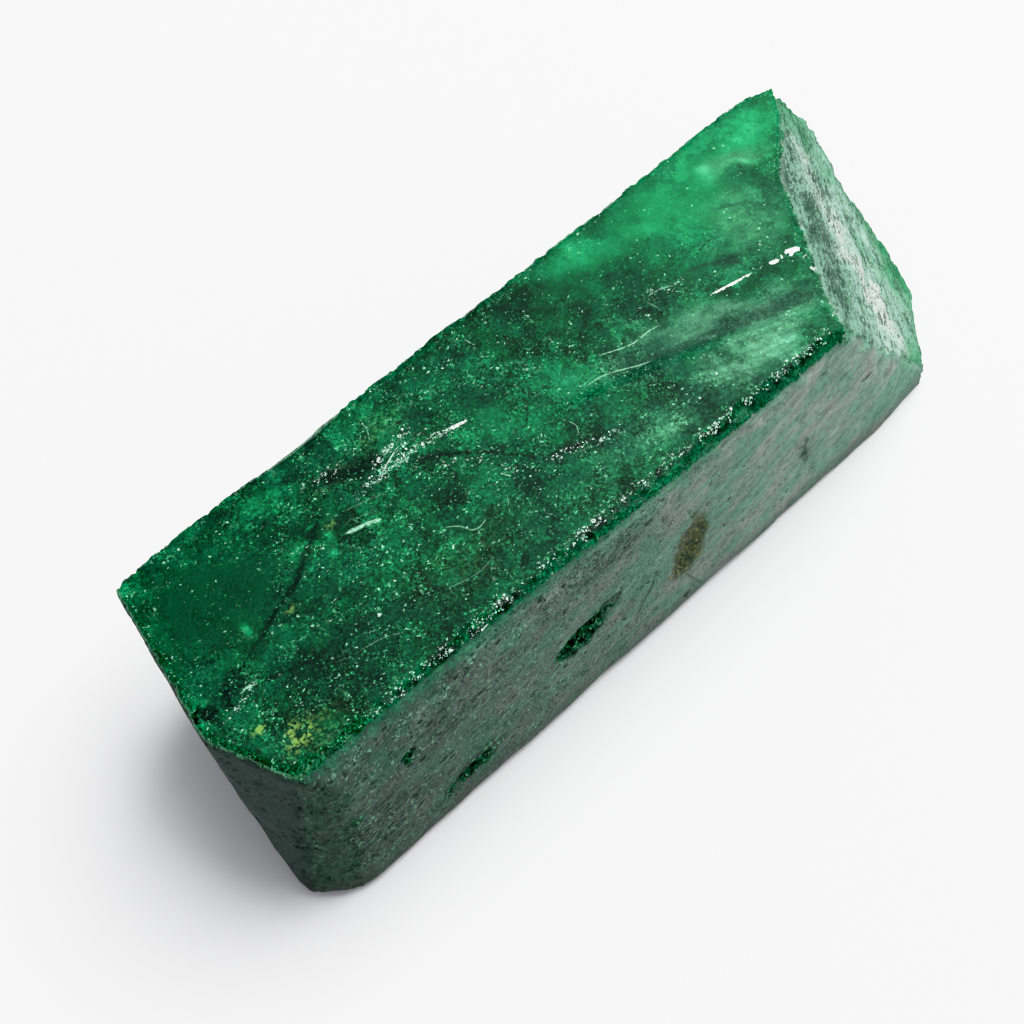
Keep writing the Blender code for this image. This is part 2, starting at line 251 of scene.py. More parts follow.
SCRATCHES = [
    ([(-18.9, 3.2), (-17.4, 2.8), (-16.1, 2.3)], 0.20, 1.0),
    ([(-17.9, 4.6), (-16.6, 4.3), (-14.3, 3.6)], 0.05, 0.3),
    ([(-13.8, -1.0), (-12.9, -1.7), (-12.5, -2.5), (-11.8, -2.7), (-10.9, -2.4)], 0.06, 0.6),
    ([(3.6, 1.8), (5.8, 0.9), (7.0, 0.7), (8.0, 0.7), (9.2, 0.4)], 0.08, 0.75),
    ([(1.2, 0.5), (2.6, 0.4), (4.0, -0.1), (5.5, -0.8), (6.6, -1.2)], 0.08, 0.7),
    ([(10.0, 2.9), (11.2, 2.7), (12.3, 2.2)], 0.09, 0.5),
    ([(-31.6, -1.1), (-31.0, -1.0), (-30.3, -1.3)], 0.12, 0.9),
    ([(-1.7, -0.7), (-1.5, -1.4), (-2.0, -2.2)], 0.05, 0.6),
    ([(-7.8, -4.6), (-8.0, -5.0), (-7.7, -5.5)], 0.05, 0.5),
    ([(-8.0, -0.6), (-7.6, -1.3)], 0.08, 0.8),
    ([(-2.0, 9.3), (-1.8, 8.4)], 0.07, 0.6),
    ([(-12.7, 7.4), (-12.0, 8.6), (-12.2, 9.4)], 0.06, 0.5),
    ([(-17.0, -4.6), (-14.6, -5.2), (-12.8, -5.0)], 0.05, 0.3),
    ([(9.6, 2.8), (9.9, 1.6)], 0.06, 0.4),
    ([(-24.6, -4.0), (-22.4, -4.4), (-20.8, -5.2)], 0.04, 0.4),
    ([(-9.8, -3.4), (-8.9, -2.2)], 0.04, 0.4),
]
# Glints in the window, in plan: painted highlights, white strokes in the colour.
GLINTS = [
    ([(13.2, -0.2), (14.0, -0.3), (15.5, -0.6), (17.1, -0.9)], 0.10, 1.0),
    ([(18.5, -1.2), (19.3, -1.4)], 0.17, 1.0),
    ([(20.0, -1.3), (21.2, -1.8)], 0.30, 1.0),
    ([(20.4, -3.5), (20.8, -3.9)], 0.22, 0.9),
    ([(-8.0, 4.5), (-6.6, 4.1)], 0.15, 1.0),
    ([(-13.9, 5.0), (-12.6, 5.5), (-11.4, 5.9)], 0.06, 0.5),
]
# Granular white lines in the window, in plan: painted sparkle, white flecks that stand for glints.
SPARKLES = [
    ([(-15.4, 4.8), (-12.8, 4.9), (-10.6, 4.9), (-9.2, 4.7), (-7.0, 4.3)], 0.36, 1.0),
    ([(-14.4, 5.6), (-12.8, 6.0), (-11.0, 6.4), (-9.4, 6.4)], 0.50, 0.75),
    ([(-5.3, -1.8), (-4.4, -2.2), (-3.0, -2.7), (-1.0, -3.4), (1.4, -4.2)], 0.55, 0.45),
    ([(-19.0, 7.8), (-16.8, 7.7), (-14.8, 7.6)], 0.40, 0.35),
    ([(-34.4, -1.7), (-33.0, -1.9), (-31.0, -1.3), (-29.8, -0.6)], 0.30, 0.5),
    ([(-22.6, 4.6), (-20.8, 3.6), (-19.6, 2.2)], 0.45, 0.14),
    ([(-8.9, 0.6), (-7.4, -0.6), (-6.8, -1.6)], 0.40, 0.3),
    ([(-11.0, 3.2), (-8.6, 1.7), (-7.0, 0.0)], 0.45, 0.2),
    ([(10.2, 3.4), (11.6, 2.4), (13.4, 2.2)], 0.40, 0.3),
]
# Lines on the front, in elevation: X and Z.
LEDGES = [
    ([(-27.6, 9.8), (-26.6, 10.3), (-25.3, 12.9), (-24.2, 14.0), (-22.6, 14.3), (-20.9, 14.1)], 0.22, 0.8),
    ([(-19.8, 13.4), (-19.2, 12.8), (-18.4, 12.9), (-17.9, 14.0), (-16.1, 13.8), (-14.0, 14.4), (-12.2, 13.8)], 0.20, 1.0),
    ([(-10.6, 15.0), (-8.1, 15.3), (-5.6, 15.3), (-1.6, 15.5), (4.0, 15.4), (9.0, 15.2), (14.0, 14.8)], 0.30, 0.8),
]
SLITS = [
    ([(-4.5, 4.2), (-3.6, 5.3), (-2.7, 6.6), (-2.2, 7.8), (-2.8, 8.3)], 0.16, 0.9),
    ([(4.9, 6.2), (5.3, 5.6)], 0.13, 1.0),
    ([(13.9, 8.2), (13.8, 6.2), (14.2, 4.6)], 0.35, 0.7),
    ([(8.4, 9.9), (8.7, 9.4)], 0.10, 0.9),
    ([(0.9, 4.2), (1.8, 2.6), (2.6, 1.2)], 0.12, 0.5),
    ([(-9.0, 3.6), (-5.0, 3.0), (-1.0, 3.4)], 0.12, 0.4),
]
LINE_REACH = 0.8

# Where the splintered end starts, in plan: the window's edge bites in beside its plane.
END_RIM = [
    (17.5, -9.4), (18.4, -7.6), (19.2, -6.2), (19.9, -4.9), (20.6, -3.6), (21.6, -2.0), (22.7, -0.3), (23.7, 1.2),
    (24.6, 2.8), (25.5, 4.1), (26.9, 5.4), (28.5, 6.6), (30.0, 8.0), (31.2, 9.6), (32.2, 11.4),
]

# Bright grains: a line in plan, half width, and share of the full density.
GRAIN_LINES = [
    ([(-26.0, -8.0), (-12.0, -8.05), (2.0, -8.1), (17.4, -8.2)], 0.20, 0.8),
    ([(-16.4, 4.9), (-13.6, 4.9), (-11.4, 5.8), (-10.0, 6.0)], 0.40, 1.5),
    ([(-12.6, 4.9), (-10.0, 4.9), (-8.7, 4.7), (-6.7, 4.3)], 0.28, 1.5),
    ([(-4.8, -2.1), (-3.2, -2.6), (-1.5, -3.2), (0.8, -3.8)], 0.45, 0.30),
    ([(-17.6, 7.4), (-15.8, 7.0)], 0.3, 0.4),
]

# The light that shows as white, and how some lower lights show.
WHITE = 1.35
BLACK = 0.016
TONES = [(0.25, 0.25), (0.4, 0.44), (0.55, 0.63), (0.75, 0.79), (1.0, 0.895)]

SKIN_CELL = 0.255
SKIN_ROUNDING = 3
# How far the splintered end is filled out, by height.
END_FILL = [(0.0, 0.15), (1.0, 0.4), (2.0, 0.3), (3.5, 0.03), (9.0, 0.0), (12.0, 0.05), (16.0, 0.15)]
# The plane that blunts the far corner of the window.
BLUNT = ((30.3, 10.35, TOP_Z), 50.0, 12.0)
# The foot is rounder towards the butt end than at the splintered end.
FOOT_RADIUS = 1.15
FOOT_RADIUS_AT_END = 0.45
CORNER_SOFTNESS = 1.8
SEED = 17


def linear(red, green, blue):
    """A display colour from 0 to 255, as the shader wants it."""
    def channel(value):
        value /= 255.0
        return value / 12.92 if value <= 0.04045 else ((value + 0.055) / 1.055) ** 2.4
    return (channel(red), channel(green), channel(blue), 1.0)


def facing(heading, tilt):
    """The unit vector at a compass heading and an upward tilt, both in degrees."""
    h, t = math.radians(heading), math.radians(tilt)
    return Vector((math.cos(h) * math.cos(t), math.sin(h) * math.cos(t), math.sin(t)))


# ---------------------------------------------------------------- node helpers


class Graph:
    """Short ways to add nodes to one node tree, in a material or in Geometry Nodes."""

    def __init__(self, tree):
        self.tree = tree
        self.nodes = tree.nodes
        self.links = tree.links

    def feed(self, socket, value):
        if isinstance(value, bpy.types.NodeSocket):
            self.links.new(value, socket)
        else:
            socket.default_value = value

    def add(self, kind, inputs=None, **settings):
        node = self.nodes.new(kind)
        for name, value in settings.items():
            setattr(node, name, value)
        for key, value in (inputs or {}).items():
            self.feed(node.inputs[key], value)
        return node

    def math(self, operation, first, second=0.0, third=0.0, clamp=False):
        node = self.add("ShaderNodeMath", operation=operation, use_clamp=clamp)
        for socket, value in zip(node.inputs, (first, second, third)):
            self.feed(socket, value)
        return node.outputs[0]

    def total(self, *values):
        """The sum of any number of values."""
        result = values[0]
        for value in values[1:]:
            result = self.math("ADD", result, value)
        return result

    def times(self, *values):
        """The product of any number of values."""
        result = values[0]
        for value in values[1:]:
            result = self.math("MULTIPLY", result, value)
        return result

    def vector(self, operation, first, second=(0.0, 0.0, 0.0)):
        node = self.add("ShaderNodeVectorMath", operation=operation)
        self.feed(node.inputs[0], first)
        if operation == "SCALE":
            self.feed(node.inputs["Scale"], second)
            return node.outputs["Vector"]
        self.feed(node.inputs[1], second)
        return node.outputs["Value"] if operation in ("DOT_PRODUCT", "LENGTH") else node.outputs["Vector"]

    def parts(self, vector):
        return self.add("ShaderNodeSeparateXYZ", {0: vector}).outputs

    def joined(self, x, y, z):
        return self.add("ShaderNodeCombineXYZ", {0: x, 1: y, 2: z}).outputs[0]

    def step(self, value, low, high, start=0.0, end=1.0):
        """A smooth step from start to end while the value goes from low to high."""
        node = self.add("ShaderNodeMapRange", interpolation_type="SMOOTHSTEP")
        for key, amount in zip(("Value", "From Min", "From Max", "To Min", "To Max"), (value, low, high, start, end)):
            self.feed(node.inputs[key], amount)
        return node.outputs["Result"]

    def noise(self, place, size, detail=2.0, rough=0.5, distortion=0.0):
        """Soft noise around zero, from about -1 to 1, with lumps of the given size."""
        scale = 1.0 / size
        inputs = {"Vector": place, "Scale": scale, "Detail": detail, "Roughness": rough, "Distortion": distortion}
        value = self.add("ShaderNodeTexNoise", inputs).outputs[0]
        return self.math("MULTIPLY_ADD", value, 2.0, -1.0)

    def cells(self, place, size, feature="F1", randomness=1.0):
        inputs = {"Vector": place, "Scale": 1.0 / size, "Randomness": randomness}
        return self.add("ShaderNodeTexVoronoi", inputs, feature=feature)

    def mix(self, share, first, second, blend="MIX"):
        node = self.add("ShaderNodeMix", data_type="RGBA", blend_type=blend, clamp_factor=True)
        for key, value in ((0, share), (6, first), (7, second)):
            self.feed(node.inputs[key], value)
        return node.outputs[2]

    def blend(self, share, first, second):
        """One number between two others."""
        node = self.add("ShaderNodeMix", data_type="FLOAT", clamp_factor=True)
        for key, value in ((0, share), (2, first), (3, second)):
            self.feed(node.inputs[key], value)
        return node.outputs[0]

    def ramp(self, value, stops):
        node = self.add("ShaderNodeValToRGB", {0: value})
        elements = node.color_ramp.elements
        for i, (at, color) in enumerate(stops):
            element = elements[i] if i < 2 else elements.new(at)
            element.position = at
            element.color = color
        return node.outputs["Color"]

    def stretched(self, place, along, sizes):
        """The place, turned so that X runs along a direction, and divided by one size for each axis."""
        x = Vector(along).normalized()
        up = Vector((0.0, 0.0, 1.0)) if abs(x.z) < 0.9 else Vector((0.0, 1.0, 0.0))
        y = up.cross(x).normalized()
        parts = [self.math("DIVIDE", self.vector("DOT_PRODUCT", place, tuple(axis)), size)
                 for axis, size in zip((x, y, x.cross(y)), sizes)]
        return self.joined(*parts)


def node_group(name, inputs, outputs, kind="ShaderNodeTree"):
    """An empty node group with named sockets, as (graph, input sockets, output sockets)."""
    tree = bpy.data.node_groups.new(name, kind)
    for label, socket_type, default in inputs:
        socket = tree.interface.new_socket(label, in_out="INPUT", socket_type="NodeSocket" + socket_type)
        if default is not None:
            socket.default_value = default
    for label, socket_type in outputs:
        tree.interface.new_socket(label, in_out="OUTPUT", socket_type="NodeSocket" + socket_type)
    graph = Graph(tree)
    entry = graph.add("NodeGroupInput")
    leaving = graph.add("NodeGroupOutput")
    return graph, entry.outputs, leaving.inputs


def place_group(graph, tree, **values):
    """A node group set in a material. A name's underscores stand for the spaces of its socket."""
    node = graph.add("ShaderNodeGroup", node_tree=tree)
    for name, value in values.items():
        graph.feed(node.inputs[name.replace("_", " ")], value)
    return node.outputs


# ---------------------------------------------------------------- the skin and what it knows


def bake(obj):
    """Turns the object's modifiers into plain mesh."""
    graph = bpy.context.evaluated_depsgraph_get()
    mesh = bpy.data.meshes.new_from_object(obj.evaluated_get(graph), depsgraph=graph)
    obj.modifiers.clear()
    obj.data = mesh


def dense_skin():
    """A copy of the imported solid, in millimetres, laid over with small even cells."""
    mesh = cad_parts[NODE].data.copy()
    bm = bmesh.new()
    bm.from_mesh(mesh)
    bmesh.ops.remove_doubles(bm, verts=bm.verts[:], dist=1e-6)
    bmesh.ops.scale(bm, vec=(1.0 / MM,) * 3, verts=bm.verts[:])
    bm.to_mesh(mesh)
    bm.free()
    stone = bpy.data.objects.new("crystal", mesh)
    bpy.context.scene.collection.objects.link(stone)
    cells = stone.modifiers.new("skin", "REMESH")
    cells.mode = "VOXEL"
    cells.voxel_size = SKIN_CELL
    cells.use_smooth_shade = True
    rounding = stone.modifiers.new("rounding", "SMOOTH")
    rounding.iterations = SKIN_ROUNDING
    bake(stone)
    stone.data.materials.clear()
    return stone


def points_of(mesh):
    points = np.empty(len(mesh.vertices) * 3)
    mesh.vertices.foreach_get("co", points)
    return points.reshape(-1, 3)


def store(mesh, name, values):
    """Keeps a number, or three, for each point of the mesh."""
    values = np.asarray(values, dtype=np.float32)
    kind, key = ("FLOAT_VECTOR", "vector") if values.ndim == 2 else ("FLOAT", "value")
    mesh.attributes.new(name, kind, "POINT").data.foreach_set(key, values.ravel())


def learn_faces(mesh):
    """Stores how far each point lies inside the rim of each face, or below zero outside it, and off any edge."""
    points = points_of(mesh)
    gaps = {}
    for name, planes in FACES.items():
        depths = [(np.array(at) - points) @ np.array(facing(heading, tilt)) for at, heading, tilt in planes]
        gaps[name] = np.abs(np.minimum.reduce(depths))
        if name == "splinter":
            nearest = np.sort(np.abs(depths), axis=0)
            store(mesh, "bend", nearest[1] - nearest[0])
    rims = {}
    for name, gap in gaps.items():
        rims[name] = np.minimum.reduce([other for key, other in gaps.items() if key != name]) - gap
    _, left, _ = beside_line(points[:, :2], END_RIM)
    before = np.where(points[:, 2] > TOP_Z - 3.0, left, -3.0)
    rims["window"] = np.where(points[:, 0] > 15.0, np.minimum(rims["window"], before), rims["window"])
    rims["splinter"] = np.where(points[:, 2] > TOP_Z - 1.2, np.maximum(rims["splinter"], -left), rims["splinter"])
    for name, rim in rims.items():
        store(mesh, name, rim)
    nearest = np.sort(np.stack(list(gaps.values())), axis=0)
    store(mesh, "edge", nearest[1] - nearest[0])
    return rims


def beside_line(points, line):
    """How far along a line each point is, how far to its left, and the line's length."""
    nearest = np.full(len(points), np.inf)
    along, across, passed = np.zeros(len(points)), np.zeros(len(points)), 0.0
    for start, end in zip(line, line[1:]):
        start, run = np.array(start), np.array(end) - np.array(start)
        length = np.hypot(*run)
        share = np.clip((points - start) @ run / length**2, 0.0, 1.0)
        offset = points - (start + share[:, None] * run)
        distance = np.hypot(offset[:, 0], offset[:, 1])
        side = np.where(run[0] * offset[:, 1] - run[1] * offset[:, 0] < 0.0, -1.0, 1.0)
        closer = distance < nearest
        nearest[closer] = distance[closer]
        along[closer] = passed + (share * length)[closer]
        across[closer] = (side * distance)[closer]
        passed += length
    return along, across, passed


def rounded(line):
    """The line with extra points, so that it bends smoothly."""
    if len(line) < 3:
        return line
    ends = [line[0], *line, line[-1]]
    points = []
    for before, start, end, after in zip(ends, ends[1:], ends[2:], ends[3:]):
        for t in (0.0, 0.25, 0.5, 0.75):
            points.append(tuple(
                0.5 * (2 * b + (c - a) * t + (2 * a - 5 * b + 4 * c - d) * t * t + (3 * b - a - 3 * c + d) * t**3)
                for a, b, c, d in zip(before, start, end, after)
            ))
    return [*points, line[-1]]


def learn_lines(mesh, name, flat_points, lines):
    """Stores where each point lies on the nearest line: share of its length, half widths across, strength."""
    nearest = np.full(len(flat_points), np.inf)
    found = np.zeros((len(flat_points), 3))
    for line, half_width, strength in lines:
        along, across, length = beside_line(flat_points, rounded(line))
        closer = np.abs(across) < nearest
        nearest[closer] = np.abs(across[closer])
        near = np.where(np.abs(across) < LINE_REACH, strength, 0.0)
        found[closer] = np.stack([along / length, across / half_width, near], axis=1)[closer]
    store(mesh, name, found)


def soft_field(flat_points, patches):
    """The sum of soft patches at each point."""
    total = np.zeros(len(flat_points))
    for centre, sizes, turn, strength in patches:
        offset = flat_points - np.array(centre)
        c, s = math.cos(math.radians(turn)), math.sin(math.radians(turn))
        along = (offset[:, 0] * c + offset[:, 1] * s) / sizes[0]
        across = (offset[:, 1] * c - offset[:, 0] * s) / sizes[1]
        total += strength * np.exp(-((along**2 + across**2) ** 1.5))
    return total


def ring_field(flat_points, rings):
    """The sum of soft rings at each point."""
    total = np.zeros(len(flat_points))
    for centre, radius, half_width, strength in rings:
        offset = flat_points - np.array(centre)
        total += strength * np.exp(-(((np.hypot(offset[:, 0], offset[:, 1]) - radius) / half_width) ** 2))
    return total


def wander(points, size, amount):
    """Points shifted by soft noise, so that a patch drawn on them gets a natural outline."""
    shifts = [noise.noise_vector(Vector(point) / size) for point in points]
    return points + amount * np.array(shifts)


def learn_marks(mesh):
    """Stores the soft patches and the lines of the window and of the front."""
    points = points_of(mesh)
    shifted = wander(points, 2.2, 1.3)
    plan, elevation = points[:, :2], points[:, [0, 2]]
    soft_plan, soft_elevation = shifted[:, :2], shifted[:, [0, 2]]
    # Painted glow: the window brighter towards the splintered end.
    rise = GLOW_RISE * np.clip((points[:, 0] + 5.0) / 25.0, 0.0, 1.0)
    store(mesh, "glow", GLOW_LEVEL + rise + 0.85 * soft_field(soft_plan, GLOW))
    store(mesh, "haze_and_sheen", soft_field(soft_plan, HAZE_AND_SHEEN))
    store(mesh, "warmth", soft_field(plan, WARMTH) + ring_field(plan, RINGS))
    store(mesh, "calm", soft_field(soft_plan, CALM))
    store(mesh, "blotch", soft_field(plan, BLOTCHES))
    store(mesh, "streak", soft_field(soft_plan, STREAKS))
    store(mesh, "mint", soft_field(soft_plan, MINT))
    faces_front = np.where(points[:, 1] < -7.5, 1.0, 0.0)
    for name, patches in {"cavity": CAVITIES, "olive": OLIVE, "soot": SOOT, "teal": TEAL}.items():
        store(mesh, name, faces_front * soft_field(wander(elevation_points(elevation), 1.3, 0.6)[:, :2], patches))
    in_plan = {"cracks": CRACKS, "scratches": SCRATCHES, "glints": GLINTS, "sparkles": SPARKLES}
    for name, lines in in_plan.items():
        learn_lines(mesh, name, plan, lines)
    for name, lines in {"ledges": LEDGES, "slits": SLITS}.items():
        learn_lines(mesh, name, elevation, lines)


def elevation_points(flat):
    return np.column_stack([flat, np.zeros(len(flat))])


def learn_grains(mesh, rims):
    """Stores how thickly the bright grains stand at each point."""
    points = points_of(mesh)
    density = np.zeros(len(points))
    for line, half_width, share in GRAIN_LINES:
        along, across, length = beside_line(points[:, :2], line)
        inside = (along > 0.0) & (along < length)
        density = np.maximum(density, inside * share * np.exp(-((across / half_width) ** 2)))
    clumps = np.array([noise.noise(Vector((p[0] / 1.1, p[1] / 1.1, 4.0))) for p in points])
    density *= np.clip(0.25 + 3.0 * clumps, 0.03, 1.5)
    density[points[:, 2] < TOP_Z - 1.2] = 0.0
    store(mesh, "grains", density)


def fill_end(mesh):
    """Brings the splintered end out to its planes, more towards the back at the far corner."""
    points = points_of(mesh)
    depths = [np.abs((np.array(at) - points) @ np.array(facing(heading, tilt))) for at, heading, tilt in FACES["splinter"]]
    share = np.clip(1.6 - np.minimum.reduce(depths) / 1.2, 0.0, 1.0) * np.where(points[:, 0] > 14.0, 1.0, 0.0)
    share *= np.interp(points[:, 2], *zip(*END_FILL))
    turned = np.clip((points[:, 1] - 4.0) / 5.0, 0.0, 1.0)[:, None]
    points += share[:, None] * ((1.0 - turned) * np.array(facing(-15.0, 20.0)) + turned * np.array(facing(30.0, 15.0)))
    points[:, 2] = np.minimum(points[:, 2], np.where(share > 0.0, TOP_Z, np.inf))
    at, heading, tilt = BLUNT
    beyond = np.maximum((points - np.array(at)) @ np.array(facing(heading, tilt)), 0.0)
    points -= 0.85 * beyond[:, None] * np.array(facing(heading, 0.0))
    mesh.vertices.foreach_set("co", points.ravel())
    mesh.update()


def soften_corner(mesh, rims):
    """Rounds the upright edges beside the near corner by moving each point towards its neighbours, many times."""
    points = points_of(mesh)
    ends = np.empty(len(mesh.edges) * 2, dtype=np.int64)
    mesh.edges.foreach_get("vertices", ends)
    first, second = ends.reshape(-1, 2).T
    count = np.bincount(ends, minlength=len(points))
    share = np.clip(1.0 - np.abs(rims["corner"]) / CORNER_SOFTNESS, 0.0, 1.0) * np.clip((14.5 - points[:, 2]) / 2.5, 0.0, 1.0)
    share *= np.clip((points[:, 2] - 0.3) / 3.0, 0.15, 1.0)
    for _ in range(40):
        for axis in range(3):
            value = points[:, axis]
            around = np.bincount(first, value[second], len(points)) + np.bincount(second, value[first], len(points))
            points[:, axis] += share * (around / count - value)
    mesh.vertices.foreach_set("co", points.ravel())
    mesh.update()


def round_foot(mesh, rims):
    """Rounds the rim of the underside, where the upright faces meet the table."""
    points = points_of(mesh)
    outward, weights = np.zeros((len(points), 2)), np.zeros(len(points))
    for name in ("front", "butt", "corner", "splinter", "back"):
        for at, heading, tilt in FACES[name]:
            if tilt > 20.0:
                continue
            depth = np.abs((np.array(at) - points) @ np.array(facing(heading, tilt)))
            weight = np.exp(-depth / 0.35)
            outward += weight[:, None] * np.array(facing(heading, 0.0))[:2]
            weights += weight
    outward /= np.maximum(weights, 1e-9)[:, None]
    inside = rims["under"]
    radius = np.interp(points[:, 0], (5.0, 20.0), (FOOT_RADIUS, FOOT_RADIUS_AT_END))
    angle = 0.25 * math.pi * (1.0 - np.clip(np.abs(inside) / radius, 0.0, 1.0))
    near = np.abs(inside) < radius
    below = inside > 0.0
    inset = radius * np.where(below, 1.0 - np.sin(angle), 1.0 - np.cos(angle)) - np.where(below, inside, 0.0)
    height = radius * np.where(below, 1.0 - np.cos(angle), 1.0 - np.sin(angle))
    points[:, :2] -= np.where(near, inset, 0.0)[:, None] * outward
    points[:, 2] = np.where(near, height, points[:, 2])
    mesh.vertices.foreach_set("co", points.ravel())
    mesh.update()


def level_window(mesh, rims):
    """Makes the window truly flat up to its chipped rim, apart from its stepped groove."""
    points = points_of(mesh)
    along, across, _ = beside_line(points[:, :2], GROOVE_LINE)
    width = np.where(across > 0.0, GROOVE_BACK_WIDTH, GROOVE_FRONT_WIDTH)
    share = np.clip(1.0 - np.abs(across) / width, 0.0, 1.0)
    profile = np.where(across > 0.0, share, share * share * (3.0 - 2.0 * share))
    sunk = GROOVE_DEPTH * np.clip(along / GROOVE_OPENING, 0.0, 1.0) * profile
    rise = TOP_Z - sunk - points[:, 2]
    well_inside = np.clip((rims["window"] - 0.5) / 0.6, 0.0, 1.0)
    shallow = np.clip(1.6 - np.abs(rise) / 0.12, 0.0, 1.0) * np.clip((rims["window"] - 0.05) / 0.25, 0.0, 1.0)
    _, left, _ = beside_line(points[:, :2], END_RIM)
    x, y, z = points.T
    at_end = np.clip(left / 0.2, 0.0, 1.0) * ((x > 15.0) & (y > -8.0) & (y < 10.4) & (z > TOP_Z - 1.3))
    points[:, 2] += np.maximum.reduce([well_inside, shallow, at_end]) * rise
    falling = TOP_Z + 0.55 * left
    points[:, 2] = np.where((left < 0.0) & (points[:, 2] > TOP_Z - 1.2), np.minimum(points[:, 2], falling), points[:, 2])
    mesh.vertices.foreach_set("co", points.ravel())
    mesh.update()


# ---------------------------------------------------------------- fine relief and grains, in Geometry Nodes


def apply_tree(obj, tree, values):
    """Runs a Geometry Nodes tree on the object with the given values, and keeps the result as plain mesh."""
    modifier = obj.modifiers.new(tree.name, "NODES")
    modifier.node_group = tree
    for item in tree.interface.items_tree:
        if item.in_out == "INPUT" and item.name in values:
            modifier[item.identifier] = values[item.name]
    bake(obj)


def named(graph, name):
    return graph.add("GeometryNodeInputNamedAttribute", {"Name": name}, data_type="FLOAT").outputs[0]


def relief_tree():
    """Moves the skin in and out: grain and pits on the frosted sides, blades on the splintered end."""
    g, given, result = node_group(
        "fine relief",
        [("Geometry", "Geometry", None), ("Grain depth", "Float", 0.1), ("Pit depth", "Float", 0.1),
         ("Blade depth", "Float", 0.1), ("Rim chips", "Float", 0.1)],
        [("Geometry", "Geometry")],
        "GeometryNodeTree",
    )
    place = g.add("GeometryNodeInputPosition").outputs[0]
    sides = g.step(named(g, "window"), 0.1, -0.5)
    splinter = g.step(named(g, "splinter"), -0.6, 0.4)
    frosted = g.times(sides, g.math("SUBTRACT", 1.0, splinter))
    grain = g.times(given["Grain depth"], g.noise(place, 1.3, 4.0, 0.6), sides)

    pit_place = g.stretched(place, (1.0, 0.0, 0.45), (1.5, 0.8, 0.8))
    pits = g.cells(pit_place, 1.0)
    chosen = g.step(g.parts(pits.outputs["Color"])[0], 0.55, 0.75)
    pit = g.times(g.step(pits.outputs["Distance"], 0.42, 0.1), chosen, frosted, given["Pit depth"])

    blade_place = g.stretched(place, STRIKE, (3.6, 0.75, 0.75))
    blade = g.math("ABSOLUTE", g.noise(blade_place, 1.0, 3.0, 0.55, 0.4))
    blades = g.times(g.math("SUBTRACT", g.math("POWER", blade, 0.7), 0.5), splinter, given["Blade depth"])

    rim = g.step(named(g, "edge"), 0.75, 0.0)
    chips = g.total(g.step(g.noise(place, 0.9, 3.0, 0.65), -0.15, 0.45), g.times(g.noise(place, 0.45, 1.0), 0.4))
    chips = g.times(rim, chips, given["Rim chips"])

    height = g.math("SUBTRACT", grain, g.total(pit, blades, chips))
    lifted = g.step(g.parts(place)[2], 0.15, 1.0)
    step = g.vector("SCALE", g.add("GeometryNodeInputNormal").outputs[0], g.times(height, lifted))
    moved = g.add("GeometryNodeSetPosition", {"Geometry": given["Geometry"], "Offset": step})
    g.feed(result["Geometry"], moved.outputs[0])
    return g.tree


def grain_tree(skin_material, grain_material):
    """Scatters small faceted grains over the skin where they were stored, and joins them to it."""
    g, given, result = node_group(
        "bright grains",
        [("Geometry", "Geometry", None), ("Density", "Float", 10.0), ("Smallest", "Float", 0.05),
         ("Largest", "Float", 0.1), ("Seed", "Int", 0)],
        [("Geometry", "Geometry")],
        "GeometryNodeTree",
    )
    density = g.times(named(g, "grains"), given["Density"])
    points = g.add("GeometryNodeDistributePointsOnFaces",
                   {"Mesh": given["Geometry"], "Density": density, "Seed": given["Seed"]})
    facet = g.add("GeometryNodeMeshIcoSphere", {"Radius": 1.0, "Subdivisions": 1})
    flat = g.add("GeometryNodeSetShadeSmooth", {"Geometry": facet.outputs[0], "Shade Smooth": False})
    turn = g.add("FunctionNodeRandomValue", {"Seed": given["Seed"]}, data_type="FLOAT_VECTOR")
    g.feed(turn.inputs[0], (0.0, 0.0, 0.0))
    g.feed(turn.inputs[1], (6.28, 6.28, 6.28))
    size = g.add("FunctionNodeRandomValue", {"Seed": given["Seed"]}, data_type="FLOAT")
    g.feed(size.inputs[2], given["Smallest"])
    g.feed(size.inputs[3], given["Largest"])
    shape = g.vector("SCALE", (1.5, 1.0, 0.6), size.outputs[1])
    copies = g.add("GeometryNodeInstanceOnPoints", {
        "Points": points.outputs[0], "Instance": flat.outputs[0], "Rotation": turn.outputs[0], "Scale": shape,
    })
    grains = g.add("GeometryNodeRealizeInstances", {"Geometry": copies.outputs[0]})
    grains = g.add("GeometryNodeSetMaterial", {"Geometry": grains.outputs[0], "Material": grain_material})
    skin = g.add("GeometryNodeSetMaterial", {"Geometry": given["Geometry"], "Material": skin_material})
    joined = g.add("GeometryNodeJoinGeometry")
    g.links.new(skin.outputs[0], joined.inputs[0])
    g.links.new(grains.outputs[0], joined.inputs[0])
    g.feed(result["Geometry"], joined.outputs[0])
    return g.tree


# ---------------------------------------------------------------- shared shader effects


def speckle_group():
    """Small bright specks: one in each cell of the given size, in a share of the cells."""
    g, given, result = node_group(
        "speckle",
        [("Place", "Vector", None), ("Cell", "Float", 0.3), ("Share", "Float", 0.1), ("Radius", "Float", 0.3)],
        [("Mask", "Float"), ("Tint", "Float")],
    )
    cells = g.add("ShaderNodeTexVoronoi", {"Vector": given["Place"], "Scale": g.math("DIVIDE", 1.0, given["Cell"])})
    red, green, blue = g.parts(cells.outputs["Color"])
    radius = g.times(given["Radius"], g.math("MULTIPLY_ADD", green, 0.9, 0.3))
    near = g.step(g.math("DIVIDE", cells.outputs["Distance"], radius), 1.0, 0.55)
    chosen = g.math("LESS_THAN", red, given["Share"])
    g.feed(result["Mask"], g.times(near, chosen))
    g.feed(result["Tint"], blue)
    return g.tree


